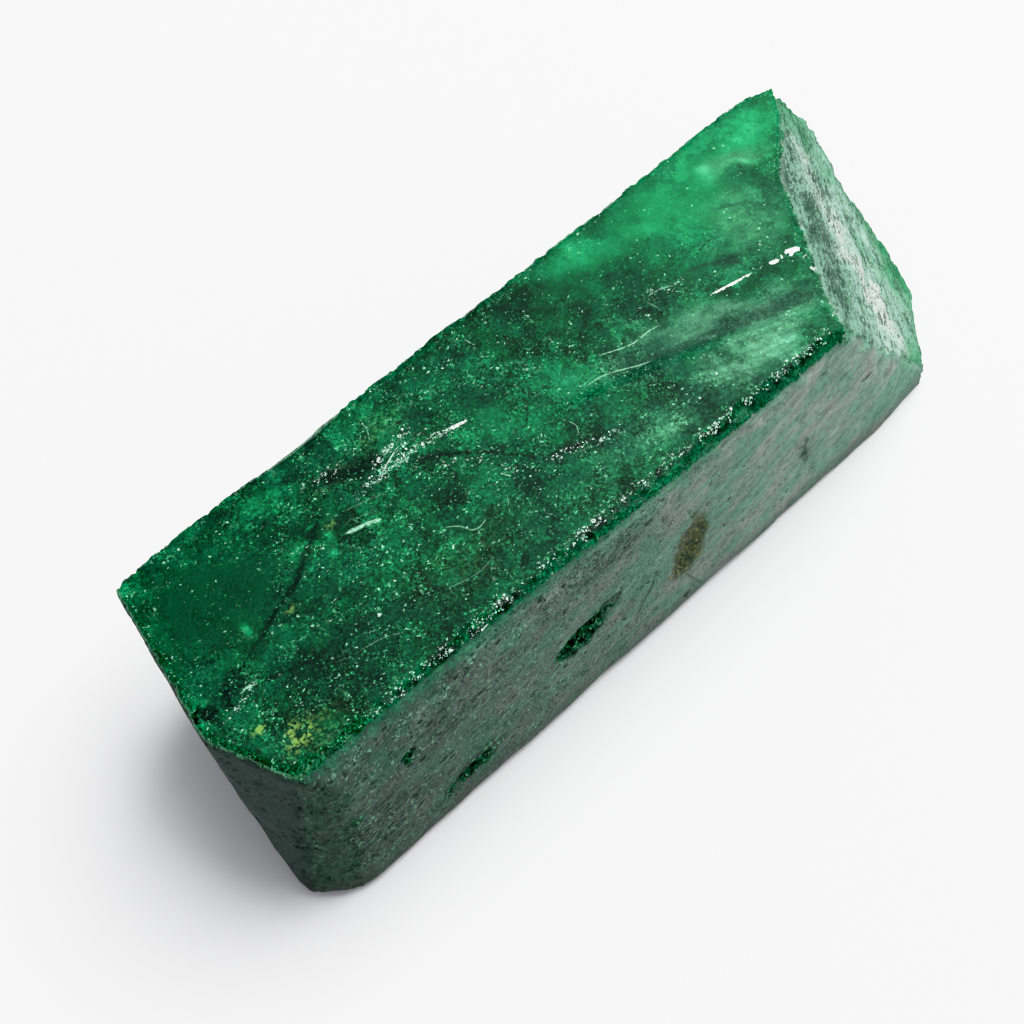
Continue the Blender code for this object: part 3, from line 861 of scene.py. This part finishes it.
def line_group():
    """The lines that the skin knows, as a mask with ragged sides and tapered ends."""
    g, given, result = node_group(
        "line",
        [("Line", "Vector", None), ("Ragged", "Float", 0.0), ("Wander", "Float", 0.0), ("Softness", "Float", 0.5)],
        [("Mask", "Float")],
    )
    share, across, strength = g.parts(given["Line"])
    ends = g.times(g.step(share, 0.0, 0.18), g.step(share, 1.0, 0.82))
    shifted = g.math("ABSOLUTE", g.math("ADD", across, given["Wander"]))
    width = g.math("MAXIMUM", g.times(ends, g.math("ADD", 1.0, given["Ragged"])), 0.02)
    mask = g.step(g.math("DIVIDE", shifted, width), 1.0, g.math("SUBTRACT", 1.0, given["Softness"]))
    g.feed(result["Mask"], g.times(mask, strength, g.step(ends, 0.0, 0.15)))
    return g.tree


def frosted_group():
    """The frosted skin of the sides: brushed grey and green, with clustered dark dashes and their pale lips."""
    g, given, result = node_group(
        "frosted skin",
        [("Place", "Vector", None), ("Teal", "Float", 0.0), ("Soot", "Float", 0.0), ("Pits", "Float", 0.35)],
        [("Color", "Color"), ("Pit", "Float"), ("Rise", "Float")],
    )
    place = given["Place"]
    drift = g.stretched(place, (1.0, 0.0, 0.26), (3.6, 0.75, 0.75))
    streak = g.noise(drift, 1.0, 5.0, 0.66, 0.6)
    hair = g.noise(g.stretched(place, (1.0, 0.0, 0.2), (1.2, 0.14, 0.14)), 1.0, 1.0)
    mottle = g.noise(place, 0.6, 3.0, 0.7)
    fine = g.noise(place, 0.14, 1.0)
    # Darker towards the butt end and paler towards the splintered end: painted shade away from the light, with the
    # paler, pinker grey that the stone has towards the splintered end.
    right = g.step(g.parts(place)[0], -32.0, 18.0)
    rough = g.step(right, 1.0, 0.55)
    patches = g.noise(g.stretched(place, (1.0, 0.0, 0.15), (2.6, 1.6, 1.6)), 1.0, 3.0, 0.6)
    teal_share = g.math("MULTIPLY_ADD", patches, 1.9, 0.5)
    teal_share = g.math("ADD", teal_share, given["Teal"], clamp=True)
    grey = g.mix(right, linear(80, 90, 84), linear(146, 154, 147))
    green = g.mix(right, linear(63, 101, 83), linear(112, 154, 134))
    base = g.mix(teal_share, grey, green)
    dusk = g.total(0.20, g.times(streak, 0.65), g.times(mottle, 0.6), g.times(hair, 0.3), g.times(fine, g.math("MULTIPLY_ADD", rough, 0.7, 0.5)),
                   g.times(given["Soot"], 0.6))
    base = g.mix(g.math("MAXIMUM", dusk, 0.0), base, g.mix(right, linear(28, 46, 38), linear(56, 80, 68)))
    pale = g.step(g.total(g.times(streak, 0.7), g.times(hair, 0.6), g.times(mottle, 0.4)), -0.25, -0.7)
    base = g.mix(g.times(pale, 0.45), base, g.mix(right, linear(116, 140, 127), linear(178, 198, 186)))
    scuff = g.noise(g.stretched(place, (1.0, 0.0, 0.5), (0.55, 0.20, 0.20)), 1.0, 3.0, 0.75)
    base = g.mix(g.times(g.step(scuff, 0.12, 0.36), rough, 0.75), base, linear(16, 36, 28))
    base = g.mix(g.times(g.step(scuff, -0.18, -0.45), rough, 0.5), base, linear(130, 166, 147))
    clusters = g.math("MULTIPLY_ADD", right, -0.7, g.step(g.noise(place, 2.4, 2.0), -0.3, 0.4))

    def dashes(cell, share, seed):
        moved = g.vector("ADD", place, (seed, seed, seed))
        slanted = g.stretched(moved, (1.0, 0.0, 0.15), (2.4 * cell, 0.8 * cell, 0.8 * cell))
        cells = g.cells(g.vector("ADD", slanted, g.vector("SCALE", g.joined(mottle, fine, hair), 0.4)), 1.0)
        red, green, _ = g.parts(cells.outputs["Color"])
        reach = g.math("MULTIPLY_ADD", green, 0.30, 0.20)
        chosen = g.math("LESS_THAN", red, g.total(0.06, g.times(share, clusters), g.times(given["Soot"], 0.3)))
        ratio = g.math("DIVIDE", cells.outputs["Distance"], reach)
        hole = g.times(g.step(ratio, 1.0, 0.5), chosen)
        lip = g.times(g.step(ratio, 1.7, 1.2), chosen)
        return hole, g.math("SUBTRACT", lip, hole, clamp=True)

    small_hole, small_lip = dashes(0.40, g.times(given["Pits"], 0.8), 0.0)
    large_hole, large_lip = dashes(0.78, g.times(given["Pits"], 0.55), 7.3)
    hole = g.math("MAXIMUM", small_hole, large_hole)
    lip = g.math("MAXIMUM", small_lip, large_lip)
    base = g.mix(g.times(lip, 0.25), base, g.mix(right, linear(120, 146, 133), linear(170, 192, 180)))
    g.feed(result["Color"], g.mix(g.times(hole, 0.7), base, g.mix(right, linear(10, 24, 18), linear(28, 50, 41))))
    g.feed(result["Pit"], hole)
    g.feed(result["Rise"], g.total(g.times(mottle, 0.03), g.times(hair, 0.02), g.times(hole, -0.08)))
    return g.tree


# ---------------------------------------------------------------- the stone's material


def known_values(g):
    """What the skin knows at each point: rims, patches and lines."""
    known = {}
    for name in [*FACES, "glow", "calm", "haze_and_sheen", "warmth", "cavity", "olive", "soot", "teal", "blotch", "streak", "mint", "bend"]:
        known[name] = g.add("ShaderNodeAttribute", attribute_name=name).outputs["Fac"]
    for name in ("cracks", "scratches", "glints", "sparkles", "ledges", "slits"):
        known[name] = g.add("ShaderNodeAttribute", attribute_name=name).outputs["Vector"]
    return known


def finish_shader(g, color, roughness, height, gloss):
    """A Principled shader with a bump whose height is in millimetres."""
    bump = g.add("ShaderNodeBump", {"Height": height, "Distance": MM, "Strength": 1.0})
    shader = g.add("ShaderNodeBsdfPrincipled", {"Base Color": color, "Roughness": roughness, "Normal": bump.outputs[0]})
    shader.inputs["Specular IOR Level"].default_value = gloss
    return shader


def window_shader(g, place, known, groups, ragged):
    """The window: clouded emerald with granular facets, cracks and scratches, painted sheen in its haze, and painted
    sparkle and glints.
    """
    cloud = g.noise(place, 1.6, 3.0, 0.6, 0.4)
    grit = g.noise(place, 0.20, 2.0, 0.8)
    thin = g.noise(place, 0.4, 1.0)
    calm = g.math("MINIMUM", known["calm"], 1.0)
    lively = g.math("MULTIPLY_ADD", calm, -0.8, 1.0)
    warped = g.vector("ADD", place, g.vector("SCALE", g.joined(cloud, grit, thin), 0.5))
    facets = g.cells(warped, 0.95)
    shade, tint, _ = g.parts(facets.outputs["Color"])
    plates = g.cells(g.vector("ADD", place, g.vector("SCALE", g.joined(cloud, ragged, thin), 0.6)), 2.3)
    plate, deep, _ = g.parts(plates.outputs["Color"])
    facet = g.total(g.times(shade, 0.16), g.times(plate, 0.22), -0.19)
    sharp = g.step(g.parts(place)[0], 12.0, -2.0, 0.75, 1.3)
    brushed = g.noise(g.stretched(place, (1.0, -0.36, 0.0), (2.2, 0.36, 0.36)), 1.0, 3.0, 0.6)
    breaks = g.cells(g.vector("ADD", place, g.vector("SCALE", g.joined(cloud, ragged, thin), 1.3)), 3.4,
                     feature="DISTANCE_TO_EDGE")
    breaks = g.times(g.step(breaks.outputs["Distance"], 0.12, 0.0), g.step(ragged, -0.35, 0.2))
    pepper = g.step(grit, -0.22, -0.42)
    busy = g.step(g.noise(place, 1.5, 3.0, 0.65), -0.3, 0.5)
    sandy = g.times(grit, sharp, g.math("MULTIPLY_ADD", busy, 0.50, 0.36))
    rough_part = g.total(g.times(cloud, 0.10), sandy, facet, g.times(pepper, -0.10), g.times(breaks, -0.16))
    level = g.total(known["glow"], g.times(cloud, 0.06), g.times(plate, 0.04), -0.02,
                    g.times(rough_part, lively), g.times(brushed, known["haze_and_sheen"], 0.24))
    color = g.ramp(level, [
        (0.0, linear(0, 26, 14)), (1.0, linear(100, 210, 160)), (0.2, linear(0, 46, 24)),
        (0.4, linear(2, 76, 42)), (0.6, linear(8, 114, 68)), (0.8, linear(26, 152, 102)),
    ])
    # The hazy ramp: milky stone with a painted sheen, paler and greyer.
    hazy_sheen = g.ramp(level, [
        (0.0, linear(4, 36, 22)), (1.0, linear(146, 206, 176)), (0.25, linear(16, 64, 43)),
        (0.5, linear(52, 106, 80)), (0.75, linear(98, 152, 122)),
    ])
    haze_and_sheen = g.math("ADD", g.times(known["haze_and_sheen"], 0.9), g.times(cloud, g.step(g.parts(place)[0], -20.0, 8.0), 0.12), clamp=True)
    color = g.mix(haze_and_sheen, color, hazy_sheen)
    cool = g.math("MAXIMUM", g.times(g.step(tint, 0.6, 0.9), 0.25), g.times(g.step(deep, 0.5, 0.6), 0.3))
    color = g.mix(g.times(cool, lively), color, g.mix(level, linear(0, 44, 32), linear(12, 126, 88)))
    solid = g.step(known["warmth"], 1.0, 1.3)
    warm = g.math("MAXIMUM", g.times(known["warmth"], g.step(g.math("ADD", grit, thin), 0.0, 0.3)), solid, clamp=True)
    color = g.mix(g.times(warm, 0.85), color, linear(128, 166, 84))

    wander = g.times(thin, 0.9)
    crack = place_group(g, groups["line"], Line=known["cracks"], Ragged=g.times(ragged, 1.0), Wander=wander, Softness=0.75)
    crack = g.times(crack["Mask"], g.step(grit, 0.9, -0.1), g.step(g.math("ADD", cloud, thin), -0.5, 0.4, 0.55, 1.0))
    color = g.mix(crack, color, g.mix(g.step(g.parts(place)[0], -1.0, 3.0), linear(0, 18, 14), linear(22, 60, 45)))

    # Thin pale veins of fine grains, here and there.
    vein = g.math("ABSOLUTE", g.noise(g.vector("ADD", place, (3.1, 8.4, 0.0)), 2.6, 3.0, 0.6))
    vein = g.times(g.step(vein, 0.03, 0.0), g.step(grit, -0.1, 0.2), g.step(cloud, 0.0, 0.3), lively)
    color = g.mix(g.times(vein, 0.5), color, linear(120, 196, 150))

    # Bright specks in the colour: partly pale green grains of the stone, partly painted glints.
    def grain_and_glint_specks(color_in, cell, share, radius, tint, strength):
        moved = g.vector("ADD", flecks, (9.0 * cell, 7.0 * cell, 0.0))
        speck = place_group(g, groups["speckle"], Place=moved, Cell=cell, Share=share, Radius=radius)
        bright = g.times(speck["Mask"], g.math("MULTIPLY_ADD", speck["Tint"], strength, 0.2))
        return g.mix(bright, color_in, tint), speck["Mask"]

    torn = g.vector("ADD", place, g.vector("SCALE", g.joined(grit, thin, grit), 0.28))
    flecks = g.stretched(torn, (1.0, -0.12, 0.0), (1.7, 0.9, 0.9))
    near_rim = g.times(g.step(known["window"], 1.3, 0.2), g.step(g.parts(place)[1], 10.0, 9.0, 0.3, 0.8))
    busy = g.times(busy, g.math("MULTIPLY_ADD", calm, -0.8, 1.0))
    busy = g.times(g.math("MAXIMUM", busy, near_rim), g.math("MULTIPLY_ADD", crack, -0.75, 1.0))
    right = g.step(g.parts(place)[0], -28.0, -6.0)
    busy = g.times(busy, sharp)
    color, _ = grain_and_glint_specks(color, 0.16, g.times(busy, 0.75), 0.42, linear(58, 180, 114), 0.85)
    color, fine = grain_and_glint_specks(color, 0.20, g.times(busy, g.step(right, 0.0, 1.0, 0.30, 0.42)), 0.38, linear(164, 232, 194), 1.0)
    color, _ = grain_and_glint_specks(color, 0.34, g.times(busy, busy, g.step(right, 0.0, 1.0, 0.05, 0.12)), 0.27, linear(204, 238, 218), 0.9)

    torn_side = g.times(thin, 0.4)
    scratch = place_group(g, groups["line"], Line=known["scratches"], Ragged=torn_side, Wander=torn_side, Softness=0.7)["Mask"]
    color = g.mix(g.times(scratch, g.step(g.math("ADD", grit, thin), -0.8, 0.1), 0.85), color, linear(158, 212, 180))

    # Painted sparkle: white flecks in the colour that stand for glints.
    def sparkle(color_in, share, cell):
        fleck = place_group(g, groups["speckle"], Place=flecks, Cell=cell, Share=share, Radius=0.62)
        return g.mix(g.times(fleck["Mask"], g.math("MULTIPLY_ADD", fleck["Tint"], 0.5, 0.5)), color_in, linear(216, 240, 226))

    lit = place_group(g, groups["line"], Line=known["sparkles"], Ragged=ragged, Wander=ragged, Softness=0.9)["Mask"]
    color = sparkle(color, lit, 0.14)
    # Painted glints: white strokes in the colour.
    glint = place_group(g, groups["line"], Line=known["glints"], Ragged=thin, Wander=wander, Softness=0.4)["Mask"]
    glint = g.times(glint, g.step(grit, -0.35, -0.05))
    color = g.mix(glint, color, linear(240, 250, 243))

    # Along the front rim: clumps of white sparkle, painted glints, then broken black-green chips, then deep clear
    # green.
    x, y, _ = g.parts(place)
    down = g.total(g.times(y, -1.0), g.times(ragged, 0.40), g.times(thin, 0.25), g.step(x, 0.0, 6.0, 0.25, -0.1))
    reach = g.times(g.step(x, -27.5, -24.0), g.step(g.math("ADD", x, g.times(ragged, 1.6)), 19.5, 15.5))
    clump = g.noise(g.joined(x, 0.0, 0.0), 1.5, 3.0, 0.6)
    gap = g.noise(g.joined(x, 5.0, 0.0), 2.8, 2.0, 0.6)
    green = g.times(g.step(down, 8.0, 8.6), reach, g.step(x, 17.0, 11.0, 0.45, 1.0))
    color = g.mix(g.times(green, 0.7), color, g.mix(g.step(grit, -0.2, 0.3), linear(4, 54, 36), linear(30, 124, 82)))
    dark = g.step(g.total(clump, g.times(gap, 1.8), grit, thin), -0.15, 0.45)
    dark = g.times(dark, g.step(down, 7.95, 8.2), g.step(down, 8.9, 8.55), reach)
    color = g.mix(g.times(dark, 0.92), color, linear(0, 14, 9))
    band = g.times(g.step(down, 7.6, 8.0), g.step(down, 8.6, 8.25), reach)
    color = sparkle(color, g.times(band, g.step(g.math("ADD", clump, g.times(gap, 0.6)), -0.35, 0.6), 0.95), 0.18)
    teeth = g.noise(g.stretched(place, STRIKE, (0.4, 1.2, 1.2)), 1.0, 2.0, 0.6)
    fringe = g.times(g.step(known["window"], 0.9, 0.1), g.step(x, 16.0, 18.0), g.step(teeth, -0.2, 0.3), g.step(y, 10.0, 8.0))
    color = g.mix(g.times(fringe, 0.6), color, linear(4, 62, 40))
    rim = g.math("ADD", known["window"], g.times(ragged, 0.2))
    rim = g.times(g.step(rim, 0.22, 0.0), g.step(grit, -0.4, 0.3), g.step(y, -8.2, -7.4), g.step(x, 22.0, 16.0))
    color = g.mix(g.times(rim, 0.55), color, linear(128, 186, 146))

    height = g.total(g.times(g.noise(place, 0.22, 1.0), 0.008), g.times(scratch, -0.02))
    roughness = g.total(0.32, g.times(cloud, 0.10), g.times(fine, -0.1))
    return finish_shader(g, color, roughness, height, 0.08)


def side_shader(g, place, known, groups, ragged):
    """The frosted front, back and butt end, with the front's cavities, olive patch, ledges and slits."""
    z = g.parts(place)[2]
    frosted = place_group(g, groups["frosted skin"], Place=place, Teal=known["teal"], Soot=known["soot"], Pits=0.85)
    color = frosted["Color"]
    coarse = g.noise(place, 0.42, 3.0, 0.7)
    on_front = g.step(known["front"], -0.3, 0.1)

    cavity = g.step(g.math("ADD", known["cavity"], g.times(coarse, 0.35)), 0.22, 0.50)
    scattered = g.vector("ADD", place, g.vector("SCALE", g.joined(coarse, ragged, g.noise(place, 0.3, 2.0)), 0.35))
    scattered = g.stretched(scattered, (1.0, 0.0, 0.3), (1.5, 0.9, 0.9))
    # Bright specks: painted glints in the cavities and on the glassy left of the front, and yellow flecks in the olive
    # patch.
    shiny = place_group(g, groups["speckle"], Place=scattered, Cell=0.26, Share=0.40, Radius=0.48)["Mask"]
    fine_flecks_and_glints = place_group(g, groups["speckle"], Place=scattered, Cell=0.16, Share=0.36, Radius=0.50)["Mask"]
    wet = g.mix(g.step(coarse, -0.2, 0.35), linear(2, 22, 13), linear(22, 100, 62))
    wet = g.mix(g.math("MAXIMUM", g.times(shiny, 0.9), g.times(fine_flecks_and_glints, 0.6)), wet, linear(84, 172, 120))
    color = g.mix(cavity, color, wet)
    olive = g.step(g.math("ADD", known["olive"], g.times(coarse, 1.1)), 0.30, 0.95)
    rust = g.mix(g.step(coarse, -0.25, 0.25), linear(14, 34, 24), linear(80, 88, 54))
    rust = g.mix(g.math("MAXIMUM", g.times(shiny, 0.7), g.times(fine_flecks_and_glints, 0.9)), rust, linear(152, 150, 84))
    color = g.mix(g.times(olive, 0.88), color, rust)
    glassy = g.step(g.parts(place)[0], 4.0, -18.0)
    glassy = g.times(glassy, g.step(g.noise(place, 1.4, 2.0), -0.6, 0.2))
    color = g.mix(g.times(shiny, glassy, 0.65), color, linear(132, 182, 152))
    color = g.mix(g.times(fine_flecks_and_glints, glassy, g.step(coarse, -0.2, 0.2), 0.6), color, linear(150, 186, 166))
    color = g.mix(g.times(g.step(g.noise(place, 0.16, 1.0), 0.22, 0.45), glassy, 0.6), color, linear(14, 32, 25))

    wobble = g.times(ragged, 0.9)
    ledge = place_group(g, groups["line"], Line=known["ledges"], Ragged=wobble, Wander=wobble, Softness=0.9)["Mask"]
    slit = place_group(g, groups["line"], Line=known["slits"], Ragged=wobble, Wander=wobble, Softness=0.7)["Mask"]
    ledge, slit = g.times(ledge, on_front), g.times(slit, on_front)
    color = g.mix(g.times(ledge, 0.22), color, linear(138, 166, 150))
    color = g.mix(g.times(slit, 0.65), color, linear(22, 42, 34))

    # Teal-green just below the window, rough deep green on the near corner, and a dull butt end darkened by painted
    # shade, as it faces away from the light.
    under_rim = g.times(g.step(g.math("ADD", known["window"], g.times(ragged, 0.35)), -1.0, -0.1), on_front)
    teal = g.mix(g.step(ragged, -0.3, 0.3), linear(10, 64, 44), linear(36, 118, 86))
    color = g.mix(g.times(under_rim, 0.75), color, teal)
    corner = g.step(g.math("ADD", known["corner"], g.times(ragged, 1.2)), -0.5, 0.7)
    rough_green = g.mix(g.step(coarse, -0.25, 0.35), linear(12, 40, 30), linear(62, 92, 78))
    color = g.mix(g.times(corner, 0.75), color, rough_green)
    # The butt end's darkness is painted shade.
    butt = g.step(g.math("ADD", known["butt"], g.times(ragged, 0.25)), -0.2, 0.2)
    dull_and_shaded = g.mix(g.step(coarse, -0.5, 0.5), linear(40, 58, 51), linear(60, 74, 68))
    dull_and_shaded = g.mix(g.times(frosted["Pit"], 0.6), dull_and_shaded, linear(18, 32, 28))
    color = g.mix(g.times(butt, 0.9), color, dull_and_shaded)
    foot = g.step(g.math("ADD", z, g.times(ragged, 1.0)), 3.0, 0.4)
    color = g.mix(g.times(foot, 0.55), color, linear(74, 74, 68))

    rough_spots = g.math("MAXIMUM", cavity, olive)
    height = g.total(frosted["Rise"], g.times(ledge, 0.10), g.times(slit, -0.12), g.times(rough_spots, coarse, 0.14))
    roughness = g.total(0.60, g.times(coarse, 0.12), g.times(cavity, -0.3))
    return finish_shader(g, color, roughness, height, 0.15)


def splinter_shader(g, place, known, ragged):
    """The splintered end: pale stone with short dark green strokes that run across it, greener at its rims."""
    strokes = g.noise(g.stretched(place, STRIKE, (1.5, 0.34, 0.34)), 1.0, 4.0, 0.72, 0.6)
    hairs = g.noise(g.stretched(place, STRIKE, (0.5, 0.12, 0.12)), 1.0, 1.0)
    clouds = g.noise(place, 2.2, 3.0, 0.6)
    grit = g.noise(place, 0.2, 2.0, 0.75)
    brow = g.step(g.total(known["bend"], g.times(clouds, 2.0), g.times(strokes, 1.2)), 1.5, -0.2)
    mint = g.total(g.times(known["mint"], 0.6), g.times(brow, 0.65), g.times(clouds, 0.5), 0.05)
    mint = g.math("MAXIMUM", mint, 0.0)
    high = g.step(g.math("ADD", g.parts(place)[2], g.times(clouds, 4.0)), 8.0, 15.0)
    pale = g.mix(high, linear(152, 180, 166), linear(128, 162, 146))
    streak = g.times(known["streak"], g.step(g.math("ADD", clouds, strokes), -0.6, 0.1))
    pale = g.mix(streak, pale, linear(208, 211, 206))
    beyond = g.step(g.parts(place)[0], 33.6, 35.0)
    pale = g.mix(g.times(beyond, 0.8), pale, linear(104, 138, 120))
    pale = g.mix(mint, pale, linear(60, 142, 100))
    shade = g.mix(mint, linear(56, 86, 72), linear(18, 92, 58))
    upper = g.step(g.parts(place)[2], 11.5, 15.6)
    dark = g.total(g.times(strokes, 1.5), g.times(hairs, 0.7), g.times(grit, 0.8), g.times(upper, 0.10),
                   g.times(clouds, 0.7), g.times(known["blotch"], g.step(g.math("ADD", hairs, grit), -0.45, 0.25, 0.2, 1.1)))
    dark = g.step(dark, -0.22, 0.56)
    color = g.mix(g.times(dark, 0.9), pale, shade)
    lip = g.step(g.math("ADD", known["window"], g.times(ragged, 0.3)), -0.55, -0.2)
    color = g.mix(g.times(lip, g.step(hairs, -0.3, 0.3), 0.35), color, linear(176, 200, 186))
    height = g.total(g.times(strokes, -0.12), g.times(hairs, -0.05), g.times(grit, -0.03))
    return finish_shader(g, color, g.total(0.65, g.times(hairs, 0.1)), height, 0.2)


def emerald_material(groups):
    """The whole stone. What a point shows depends on the face that it lies in."""
    material = bpy.data.materials.new("emerald")
    material.use_nodes = True
    g = Graph(material.node_tree)
    g.nodes.clear()
    place = g.vector("SCALE", g.add("ShaderNodeTexCoord").outputs["Object"], 1.0 / MM)
    known = known_values(g)
    ragged = g.noise(place, 0.5, 3.0, 0.68)
    by_front = g.times(g.step(g.parts(place)[1], -7.4, -7.8), g.step(g.parts(place)[0], 18.6, 17.0))
    by_back = g.step(g.parts(place)[1], 9.0, 10.2)
    torn_edge = g.times(ragged, g.step(g.parts(place)[0], 14.0, 18.0, 0.30, 0.65))
    front_reach = g.times(by_front, g.step(g.parts(place)[0], -22.0, 6.0, 0.0, 0.26))
    in_window = g.total(known["window"], torn_edge, front_reach, g.times(by_back, g.math("MULTIPLY_ADD", ragged, 0.8, 0.4)))
    in_window = g.step(in_window, -0.22, -0.08)
    at_end = g.step(g.math("ADD", known["splinter"], g.times(ragged, 0.35)), -0.2, 0.15)
    sides = g.add("ShaderNodeMixShader", {
        0: at_end,
        1: side_shader(g, place, known, groups, ragged).outputs[0],
        2: splinter_shader(g, place, known, ragged).outputs[0],
    })
    whole = g.add("ShaderNodeMixShader", {
        0: in_window, 1: sides.outputs[0], 2: window_shader(g, place, known, groups, ragged).outputs[0],
    })
    g.add("ShaderNodeOutputMaterial", {"Surface": whole.outputs[0]})
    return material


def grain_material():
    """Bright faceted grains, clear and silvery."""
    material = bpy.data.materials.new("bright grains")
    material.use_nodes = True
    g = Graph(material.node_tree)
    shader = g.nodes["Principled BSDF"]
    place = g.vector("SCALE", g.add("ShaderNodeTexCoord").outputs["Object"], 1.0 / MM)
    tint = g.step(g.noise(place, 0.5, 2.0), -0.4, 0.4)
    g.feed(shader.inputs["Base Color"], g.mix(tint, linear(120, 210, 170), linear(238, 248, 243)))
    g.feed(shader.inputs["Roughness"], g.total(0.2, g.times(tint, 0.1)))
    shader.inputs["Metallic"].default_value = 0.85
    return material


# ---------------------------------------------------------------- stage


def soft_light(name, heading, tilt, distance, size, power, color):
    """A square softbox that looks at the stone."""
    lamp = bpy.data.lights.new(name, "AREA")
    lamp.shape = "SQUARE"
    lamp.size = size
    lamp.energy = power
    lamp.color = color
    obj = bpy.data.objects.new(name, lamp)
    obj.location = facing(heading, tilt) * distance
    obj.rotation_euler = obj.location.to_track_quat("Z", "Y").to_euler()
    bpy.context.scene.collection.objects.link(obj)


def camera():
    """The camera, above the stone's front left."""
    azimuth, elevation = math.radians(-44.22), math.radians(58.21)
    target = Vector((-6.12, 0.197, 8.07)) * MM
    across, rise = math.cos(elevation), math.sin(elevation)
    back = Vector((math.sin(azimuth) * across, -math.cos(azimuth) * across, rise))
    lens = bpy.data.cameras.new("camera")
    lens.sensor_width = 36.0
    lens.lens = 36.0 * 2200.0 / 1024.0
    lens.clip_start = 0.001
    obj = bpy.data.objects.new("camera", lens)
    obj.location = target + back * 157.65 * MM
    obj.rotation_euler = back.to_track_quat("Z", "Y").to_euler()
    bpy.context.scene.collection.objects.link(obj)
    bpy.context.scene.camera = obj


def floor():
    """The plain pale table."""
    bm = bmesh.new()
    bmesh.ops.create_grid(bm, x_segments=1, y_segments=1, size=2.0)
    mesh = bpy.data.meshes.new("floor")
    bm.to_mesh(mesh)
    bm.free()
    obj = bpy.data.objects.new("floor", mesh)
    bpy.context.scene.collection.objects.link(obj)
    material = bpy.data.materials.new("floor")
    material.use_nodes = True
    shader = material.node_tree.nodes["Principled BSDF"]
    shader.inputs["Base Color"].default_value = (0.9, 0.9, 0.905, 1.0)
    shader.inputs["Roughness"].default_value = 0.9
    shader.inputs["Specular IOR Level"].default_value = 0.1
    mesh.materials.append(material)


def surroundings():
    """The pale room around the table, dimmer on the butt end's side."""
    room = bpy.data.worlds.new("surroundings")
    room.use_nodes = True
    g = Graph(room.node_tree)
    toward = g.parts(g.add("ShaderNodeTexCoord").outputs["Generated"])[0]
    glow = g.mix(g.step(toward, -0.8, 0.8), (0.42, 0.42, 0.45, 1.0), (0.80, 0.80, 0.82, 1.0))
    g.feed(g.nodes["Background"].inputs["Color"], glow)
    bpy.context.scene.world = room


def exposure():
    """A bright exposure whose whites roll off softly."""
    view = bpy.context.scene.view_settings
    view.view_transform = "Standard"
    view.use_curve_mapping = True
    mapping = view.curve_mapping
    mapping.white_level = (WHITE, WHITE, WHITE)
    mapping.black_level = (BLACK, BLACK, BLACK)
    curve = mapping.curves[3]
    for light, shown in TONES:
        curve.points.new(light / WHITE, shown)
    curve.points[-1].location = (1.0, 0.945)
    mapping.update()


def crystal():
    """The finished stone."""
    stone = dense_skin()
    fill_end(stone.data)
    rims = learn_faces(stone.data)
    soften_corner(stone.data, rims)
    level_window(stone.data, rims)
    round_foot(stone.data, rims)
    learn_marks(stone.data)
    learn_grains(stone.data, rims)
    apply_tree(stone, relief_tree(), {"Grain depth": 0.07, "Pit depth": 0.16, "Blade depth": 0.4, "Rim chips": 0.34})
    groups = {"speckle": speckle_group(), "line": line_group(), "frosted skin": frosted_group()}
    tree = grain_tree(emerald_material(groups), grain_material())
    apply_tree(stone, tree, {"Density": 20.0, "Smallest": 0.03, "Largest": 0.10, "Seed": SEED})
    stone.data.transform(Matrix.Scale(MM, 4))
    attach(stone, "root")
    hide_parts(NODE)


def main():
    crystal()
    floor()
    surroundings()
    soft_light("key", 10.0, 62.0, 0.6, 0.55, 4.1, (1.0, 1.0, 0.99))
    camera()
    exposure()


main()
